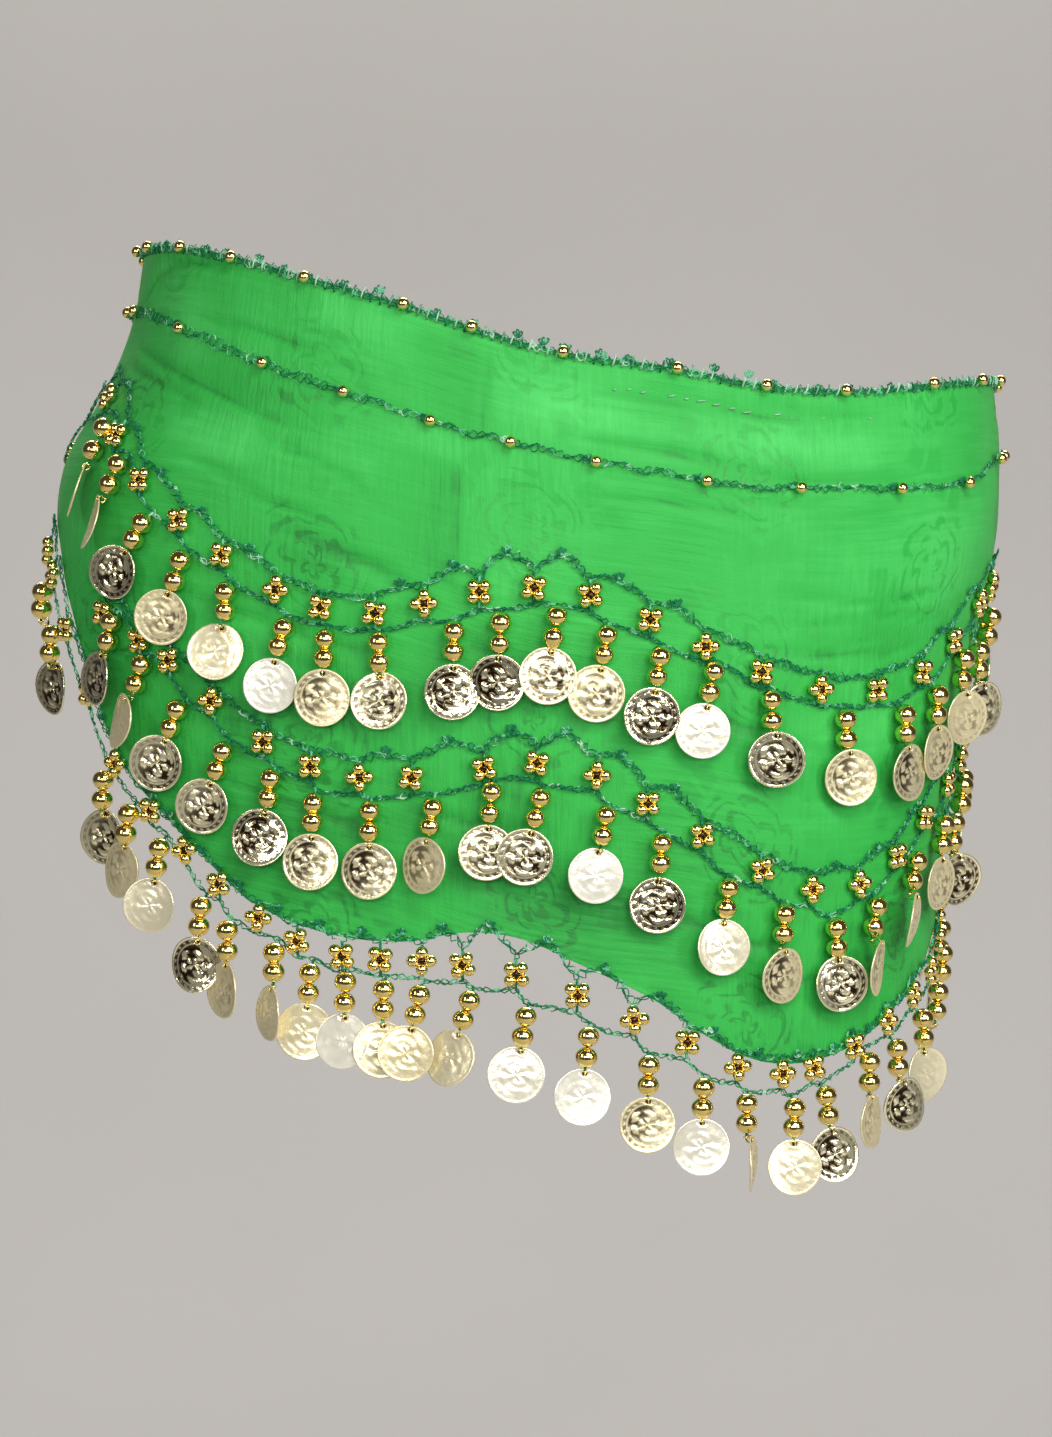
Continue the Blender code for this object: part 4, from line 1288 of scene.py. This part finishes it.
def add_coin(shape, template, centre, across, up, outward, bend, finish_and_reflection, size):
    """One coin: struck more or less deeply and bent more or less by its finish, with its hollows darkened by
    patina and by painted dark reflection.
    """
    x, y, height, faces = template
    bend = bend * float(read_table(COIN_BEND, finish_and_reflection))
    strike = float(read_table(COIN_STRIKE, finish_and_reflection))
    dish = bend * (x * x - 0.4 * y * y + 0.7 * x * y) / COIN_RADIUS ** 2
    front = COIN_THICK / 2 + strike * height + dish
    back = -COIN_THICK / 2 + 0.6 * strike * height + dish
    flat = centre + size * (x[:, None] * across + y[:, None] * up)
    points = [flat + level[:, None] * outward for level in (front, back)]
    # Hollows darker: partly patina, partly painted dark reflection, stronger on one side of the bent disc and
    # weaker on the brighter finishes.
    raised = np.clip((height + 0.05) / 0.26, 0, 1)
    clean_and_bright = smooth_step((finish_and_reflection - 0.25) / 0.60)
    side = 0.5 + 0.5 * np.clip((x - 0.4 * y) / COIN_RADIUS * np.sign(bend + 1e-9) * 2.2, -1, 1)
    patina_and_dark_reflection = (1 - clean_and_bright) * (0.35 + 0.65 * side)
    shade = raised + (1 - raised) * (1 - patina_and_dark_reflection) * (0.45 + 0.45 * clean_and_bright)
    shape.add(np.concatenate(points), faces, 1, np.concatenate([shade, shade]), finish_and_reflection)


def hang_drop(gold, yarn, template, angle, root_height, drop, number):
    """Two large beads on a thread, and a coin on a ring below them."""
    swing, turn, tip, extra, finish_and_reflection, lift = drop
    lean = math.radians(swing)
    root_height += lift

    def below(distance, out):
        return on_cloth(angle, root_height - distance * math.cos(lean), out, -distance * math.sin(lean))

    outward = out_from(angle, root_height - FACING_DOWN)
    across, up = turned_frame(outward, swing)
    thread = np.stack([below(distance, out) for distance, out in THREAD])
    yarn.tube(resample(thread, THREAD_STEP), THREAD_RADIUS, outward, 5)
    for k, distance in enumerate(DROP_BEADS):
        slip = vary(-DROP_SLIP, DROP_SLIP, number, k, 7)
        radius = DROP_BEAD * vary(*DROP_BEAD_SIZES, number, k, 11)
        place = below(distance + slip, DROP_BEAD_OUT)
        gold.ball(place, (radius, radius, radius * BEAD_FLAT), (across, outward, up), 20, 12, hole=0.06)
    for distance in NECKS:
        neck = ring_path(below(distance, DROP_BEAD_OUT), NECK_RADIUS * across, NECK_RADIUS * outward, 10)
        gold.tube(neck, NECK_WIRE, up, 5, closed=True)
    face_turn = math.radians(turn)
    upright = unit(outward * (1, 1, COIN_LEAN))
    facing = upright * math.cos(face_turn) + across * math.sin(face_turn)
    coin_across = across * math.cos(face_turn) - outward * math.sin(face_turn)
    back_tip = math.radians(tip)
    coin_up = up * math.cos(back_tip) - facing * math.sin(back_tip)
    facing = np.cross(coin_up, coin_across)
    facing = facing if facing @ outward > 0 else -facing
    size = vary(*COIN_SIZES, number, 13)
    clear = TURNED_OUT * COIN_RADIUS * abs(math.sin(face_turn))
    centre = below(COIN_DOWN, COIN_OUT + extra + clear)
    bend = math.copysign(vary(*COIN_BENDS, number, 17), chance(number, 19) - 0.5)
    add_coin(gold, template, centre, coin_across, coin_up, facing, bend, finish_and_reflection, size)
    hole = centre + coin_up * COIN_HOLE_AT * size
    coin_axes = (coin_across, coin_up, facing)
    # A dark ball in the hole, painted as the shadow seen through it.
    gold.ball(hole - facing * COIN_HOLE_SHADOW_IN, COIN_HOLE_SHADOW, coin_axes, 8, 4, kind=1, shade=0.0)
    low_end = below(LINK_DOWN, DROP_BEAD_OUT)
    half_way = (low_end - hole) / 2
    long_way = unit(half_way) * (np.linalg.norm(half_way) + LINK_PAST)
    wide_way = unit(np.cross(half_way, coin_across)) * LINK_HALF
    gold.tube(ring_path(hole + half_way, long_way, wide_way, 16), LINK_WIRE, coin_across, 5, closed=True)


def row_plan(line, flowers, drops, left_pitch, right_pitch, more_left, more_right, bare, hang_in):
    """Angles of the row's flowers, and its drops: one in each gap between them, or None in a bare stretch."""
    left = walk_angles(line, flowers[0], left_pitch, more_left, -1)[::-1]
    right = walk_angles(line, flowers[-1], right_pitch, more_right, 1)
    angles = left + list(flowers) + right

    def plain_drop(n, first, second):
        root = first + (second - first) * vary(*ROOT_RANGE, n, first)
        swing = float(read_table(LEAN, root)) + vary(*SWING_RANGE, n, 2, first)
        turn = vary(*TURN_RANGE, n, 3, first)
        tip = vary(*TIP_RANGE, n, 4, first)
        extra = vary(*OUT_RANGE, n, 5, first) - hang_in
        return root, swing, turn, tip, extra, chance(n, 6, first), 0.0

    plan = []
    for n, (first, second) in enumerate(zip(angles, angles[1:])):
        seen = [drop for drop in drops if first < drop[0] < second]
        if bare and bare[0] < (first + second) / 2 < bare[1]:
            plan.append(None)
        else:
            plan.append(seen[0] if seen else plain_drop(n, first, second))
    return angles, plan


def row_chains(yarn, line, peaks, angles, plan):
    """The scalloped upper chain and the lower chain that the drops hang from."""
    steps = []
    upper = []
    lower = []
    t = np.arange(CELL_STEPS) / CELL_STEPS
    arch = np.sin(np.pi * t) ** ARCH_POWER
    for n, drop in enumerate(plan):
        first, second = angles[n], angles[n + 1]
        at = first + (second - first) * t
        middle = line_heights(line, at)
        half_way = (first + second) / 2
        if peaks is None:
            peak = float(line_heights(HEM, half_way) + HEM_LAP - line_heights(line, half_way))
        else:
            peak = float(read_table(peaks, half_way))
        steps.append(at)
        upper.append(middle + DIP_RISE + (peak - DIP_RISE) * arch)
        root = (drop[0] - first) / (second - first) if drop else 0.5
        lift = drop[6] if drop else 0.0
        warped = np.where(t < root, 0.5 * t / root, 0.5 + 0.5 * (t - root) / (1 - root))
        lower.append(middle - LOWER_CHAIN - (LOWER_SAG - lift) * np.sin(np.pi * warped))
        if peak > DIP_RISE + TUFT_ABOVE or peaks is None:
            tuft(yarn, half_way, float(line_heights(line, half_way)) + peak, n)
    lace(yarn, np.concatenate(steps), np.concatenate(upper), UPPER_HALF, phase=len(plan))
    lace(yarn, np.concatenate(steps), np.concatenate(lower), LOWER_HALF, phase=1.0)


def tuft(yarn, angle, height, number):
    """A few short loops of yarn that catch a peak of the chain to the cloth."""
    place, across, up, outward = frame_at(angle, height + 0.6, vary(-15, 15, number, angle), TUFT_OUT)
    turns = circle(9)[:, None]
    for k in range(3):
        tilt = math.radians(TUFT_FAN * (k - 1) + vary(-6, 6, number, k))
        far = up * math.cos(tilt) + across * math.sin(tilt)
        path = place + far * vary(*TUFT_REACH, number, k, 3) * (1 - np.cos(turns))
        path = path + np.cross(outward, far) * TUFT_HALF * np.sin(turns)
        path = path + outward * TUFT_RISE * np.sin(turns / 2)
        yarn.tube(path, TUFT_YARN, outward, closed=True)


def make_row(yarn_cloth, bead, coin, name, line, peaks, flowers, drops, *spacing):
    """One scalloped row: chains of yarn, bead flowers, and a drop with a coin in each gap between them."""
    angles, plan = row_plan(line, flowers, drops, *spacing)
    gold = Shape()
    yarn = Shape()
    template = coin_template()
    row_chains(yarn, line, peaks, angles, plan)
    for n, angle in enumerate(angles):
        if plan[max(n - 1, 0)] is None and plan[min(n, len(plan) - 1)] is None:
            continue
        height = float(line_heights(line, angle))
        flower(gold, angle, height, n + len(name))
        upright = np.linspace(height + DIP_RISE, height - LOWER_CHAIN, TIE_POINTS)
        yarn.tube(on_cloth(angle, upright, TIE_OUT), TIE_RADIUS, out_from(angle, height), 5)
    for n, drop in enumerate(plan):
        if drop:
            height = float(line_heights(line, drop[0])) - LOWER_CHAIN - LOWER_SAG
            hang_drop(gold, yarn, template, drop[0], height, drop[1:], n + 100 * int(name[-1]))
    return [
        gold.make(name + "_gold", [bead, coin], "gold", "coin_" + name),
        yarn.make(name + "_yarn", [yarn_cloth], "crochet"),
    ]


def hidden_beads(seen):
    """Bead angles on the sides that can't be seen, as far apart as those that can."""
    right = np.arange(seen[-1] + HIDDEN_BEAD_PITCH, BEAD_END, HIDDEN_BEAD_PITCH)
    left = np.arange(seen[0] - HIDDEN_BEAD_PITCH, -BEAD_END, -HIDDEN_BEAD_PITCH)
    return list(left) + list(seen) + list(right)


def make_edging(yarn_cloth, bead):
    """Crochet along the top edge: a chain with small loops and stitches over it, tufts and a few beads."""
    yarn = Shape()
    gold = Shape()
    angles = np.linspace(-CHAIN_END, CHAIN_END, LINE_POINTS)
    lace(yarn, angles, top_at(angles) - 0.9, 1.0, out=1.2, radius=FINE_YARN)
    fine = np.linspace(-CHAIN_END, CHAIN_END, int(2 * CHAIN_END / EDGE_STEP))
    loops = fine * 2 * np.pi / EDGE_PITCH
    uneven = 0.5 * np.sin(fine * 1.9) + 0.5 * np.sin(fine * 3.7 + 1)
    zigzag = top_at(fine) - 0.1 + (0.9 + 0.45 * uneven) * np.sin(loops)
    yarn.tube(on_cloth(fine, zigzag, 1.3 + 0.35 * np.cos(loops)), FINE_YARN, out_from(fine, zigzag))
    for n, angle in enumerate(np.arange(1 - CHAIN_END, CHAIN_END - 1, EDGE_PITCH)):
        rise = STITCH_RISE + np.array([0, 0, 0, vary(0, 0.5, n, 2)])
        slant = np.array(STITCH_SLANT) * vary(1.0, 1.4, n)
        height = float(top_at(angle))
        path = on_cloth(angle, height + rise, STITCH_OUT, slant)
        yarn.tube(path, EDGE_YARN, out_from(angle, height), shade=vary(0.5, 0.95, n, 6))
    for n, angle in enumerate(np.arange(2 - CHAIN_END, CHAIN_END - 2, EDGE_TUFT_PITCH)):
        tuft(yarn, angle + vary(0, 4, n), float(top_at(angle)) - vary(2.2, 0.6, n, 2), n)
    for n, angle in enumerate(np.arange(*PALE_STITCHES)):
        if chance(n, 4) < PALE_MISSING:
            continue
        height = float(top_at(angle)) - PALE_DOWN - vary(0, 0.8, n)
        long_way = np.linspace(-1.3, 1.1, 4) * vary(0.4, 1.2, n, 3)
        path = on_cloth(angle, height + 0.12 * long_way, PALE_OUT, long_way)
        yarn.tube(path, PALE_YARN, out_from(angle, height), shade=0.85)
    for angle in hidden_beads(TOP_BEADS):
        small_bead(gold, angle, float(top_at(angle)) - 0.3)
    return [
        yarn.make("edging_yarn", [yarn_cloth], "crochet", "top_edging"),
        gold.make("edging_beads", [bead], "gold"),
    ]


def make_beaded_chain(yarn_cloth, bead):
    """The second chain, sewn flat along the cloth with a bead every few centimetres."""
    yarn = Shape()
    gold = Shape()
    angles = np.linspace(-CHAIN_END, CHAIN_END, LINE_POINTS)
    ripple = 0.5 * np.sin(angles * 0.9) * np.sin(angles * 0.23 + 1)
    half = SECOND_HALF + SECOND_WIDER * smooth_step((WIDER_FROM - angles) / WIDER_OVER)
    lace(yarn, angles, line_heights(BEADED_CHAIN, angles) + ripple, half, radius=FINE_YARN)
    for angle in hidden_beads(CHAIN_BEADS):
        height = float(line_heights(BEADED_CHAIN, angle))
        small_bead(gold, angle, height)
        tuft(yarn, angle - 1.0, height - 0.8, int(angle))
    return [
        yarn.make("chain_yarn", [yarn_cloth], "crochet", "beaded_chain"),
        gold.make("chain_beads", [bead], "gold"),
    ]


# Stage, light and camera

SWEEP_FLOOR = -0.95
SWEEP_BACK = 4.6
SWEEP_FRONT = -1.6
SWEEP_HALF = 5.0
SWEEP_TOP = 4.0
SWEEP_BEND = 1.2
SWEEP_STEPS = 24

# Softboxes: name, place, what they aim at, width, height, power and tint
SCARF_AIM = (0, 0, -0.08)
SOFTBOXES = (
    ("key", (1.0, -2.3, 1.7), SCARF_AIM, 1.3, 1.0, 44, (1.0, 0.98, 0.94)),
    ("fill", (2.0, -1.7, 0.6), SCARF_AIM, 0.6, 1.6, 28, (0.96, 0.98, 1.0)),
    ("left", (-2.1, -1.8, 0.9), SCARF_AIM, 0.6, 1.4, 15, (1.0, 0.98, 0.95)),
    ("front", (0.1, -3.3, 0.56), SCARF_AIM, 3.4, 0.58, 54, (1, 1, 1)),
    ("rim", (0.3, 2.0, 2.3), SCARF_AIM, 2.2, 1.0, 52, (1, 1, 1)),
    ("wall", (0, 2.7, 2.7), (0, 4.6, 0.1), 4.4, 0.8, 111, (1, 1, 1)),
)
WORLD_TONE = (0.50, 0.50, 0.51, 1.0)
WORLD_STRENGTH = 0.12

CAMERA_TARGET = (-0.0049, 0.0, -0.087)
CAMERA_AWAY = 2.4
CAMERA_ELEVATION = 3.0
VIEW_TALL = 0.50295
SENSOR = 36.0


def make_backdrop():
    """A seamless pale sweep: floor, bend and wall in one sheet."""
    nodes = Nodes("pale_sweep")
    place = nodes.place()
    mottle = nodes.between(nodes.noise(place, 3.0), 0.2, 0.8)
    darker = tuple(0.97 * c for c in BACKDROP[:3]) + (1.0,)
    nodes.set(Base_Color=nodes.blend(mottle, darker, BACKDROP), Roughness=0.9)
    profile = [(SWEEP_FRONT, SWEEP_FLOOR)]
    for k in range(SWEEP_STEPS + 1):
        turn = math.pi / 2 * k / SWEEP_STEPS
        y = SWEEP_BACK - SWEEP_BEND + SWEEP_BEND * math.sin(turn)
        profile.append((y, SWEEP_FLOOR + SWEEP_BEND - SWEEP_BEND * math.cos(turn)))
    profile.append((SWEEP_BACK, SWEEP_TOP))
    points = [(x, y, z) for y, z in profile for x in (-SWEEP_HALF, SWEEP_HALF)]
    faces = [(2 * k, 2 * k + 1, 2 * k + 3, 2 * k + 2) for k in range(len(profile) - 1)]
    mesh = bpy.data.meshes.new("sweep")
    mesh.from_pydata(points, [], faces)
    mesh.polygons.foreach_set("use_smooth", [True] * len(faces))
    mesh.materials.append(nodes.material)
    put("sweep", mesh)


def add_softbox(name, place, aim, wide, tall, power, tint):
    light = bpy.data.lights.new(name, "AREA")
    light.shape = "RECTANGLE"
    light.size = wide
    light.size_y = tall
    light.energy = power
    light.color = tint
    lamp = put(name, light)
    lamp.location = place
    lamp.rotation_euler = (Vector(aim) - Vector(place)).to_track_quat("-Z", "Y").to_euler()


def make_light():
    for softbox in SOFTBOXES:
        add_softbox(*softbox)
    world = bpy.data.worlds.new("studio")
    world.use_nodes = True
    sky = world.node_tree.nodes["Background"]
    sky.inputs["Color"].default_value = WORLD_TONE
    sky.inputs["Strength"].default_value = WORLD_STRENGTH
    bpy.context.scene.world = world


def make_camera():
    lens = bpy.data.cameras.new("camera")
    lens.sensor_width = SENSOR
    lens.lens = SENSOR * CAMERA_AWAY / VIEW_TALL
    lens.clip_end = 50
    camera = put("camera", lens)
    turn = math.radians(CAMERA_ELEVATION)
    forward = Vector((0, math.cos(turn), -math.sin(turn)))
    camera.location = Vector(CAMERA_TARGET) - forward * CAMERA_AWAY
    camera.rotation_euler = forward.to_track_quat("-Z", "Y").to_euler()
    bpy.context.scene.camera = camera


def main():
    chiffon = chiffon_material()
    yarn = yarn_material()
    bead = bead_material()
    coin = coin_material()
    cloth, run, area = make_cloth(chiffon)
    trims = make_edging(yarn, bead) + make_beaded_chain(yarn, bead)
    for row in ROWS:
        trims += make_row(yarn, bead, coin, *row)
    make_knot(chiffon)
    for name, hand, node in (("tail_left_cloth", -1, "tail_left"), ("tail_right_cloth", 1, "tail_right")):
        tail, tail_area = make_tail(name, hand, chiffon, node)
    make_backdrop()
    make_light()
    make_camera()
    bpy.context.scene.view_settings.view_transform = "Standard"


main()
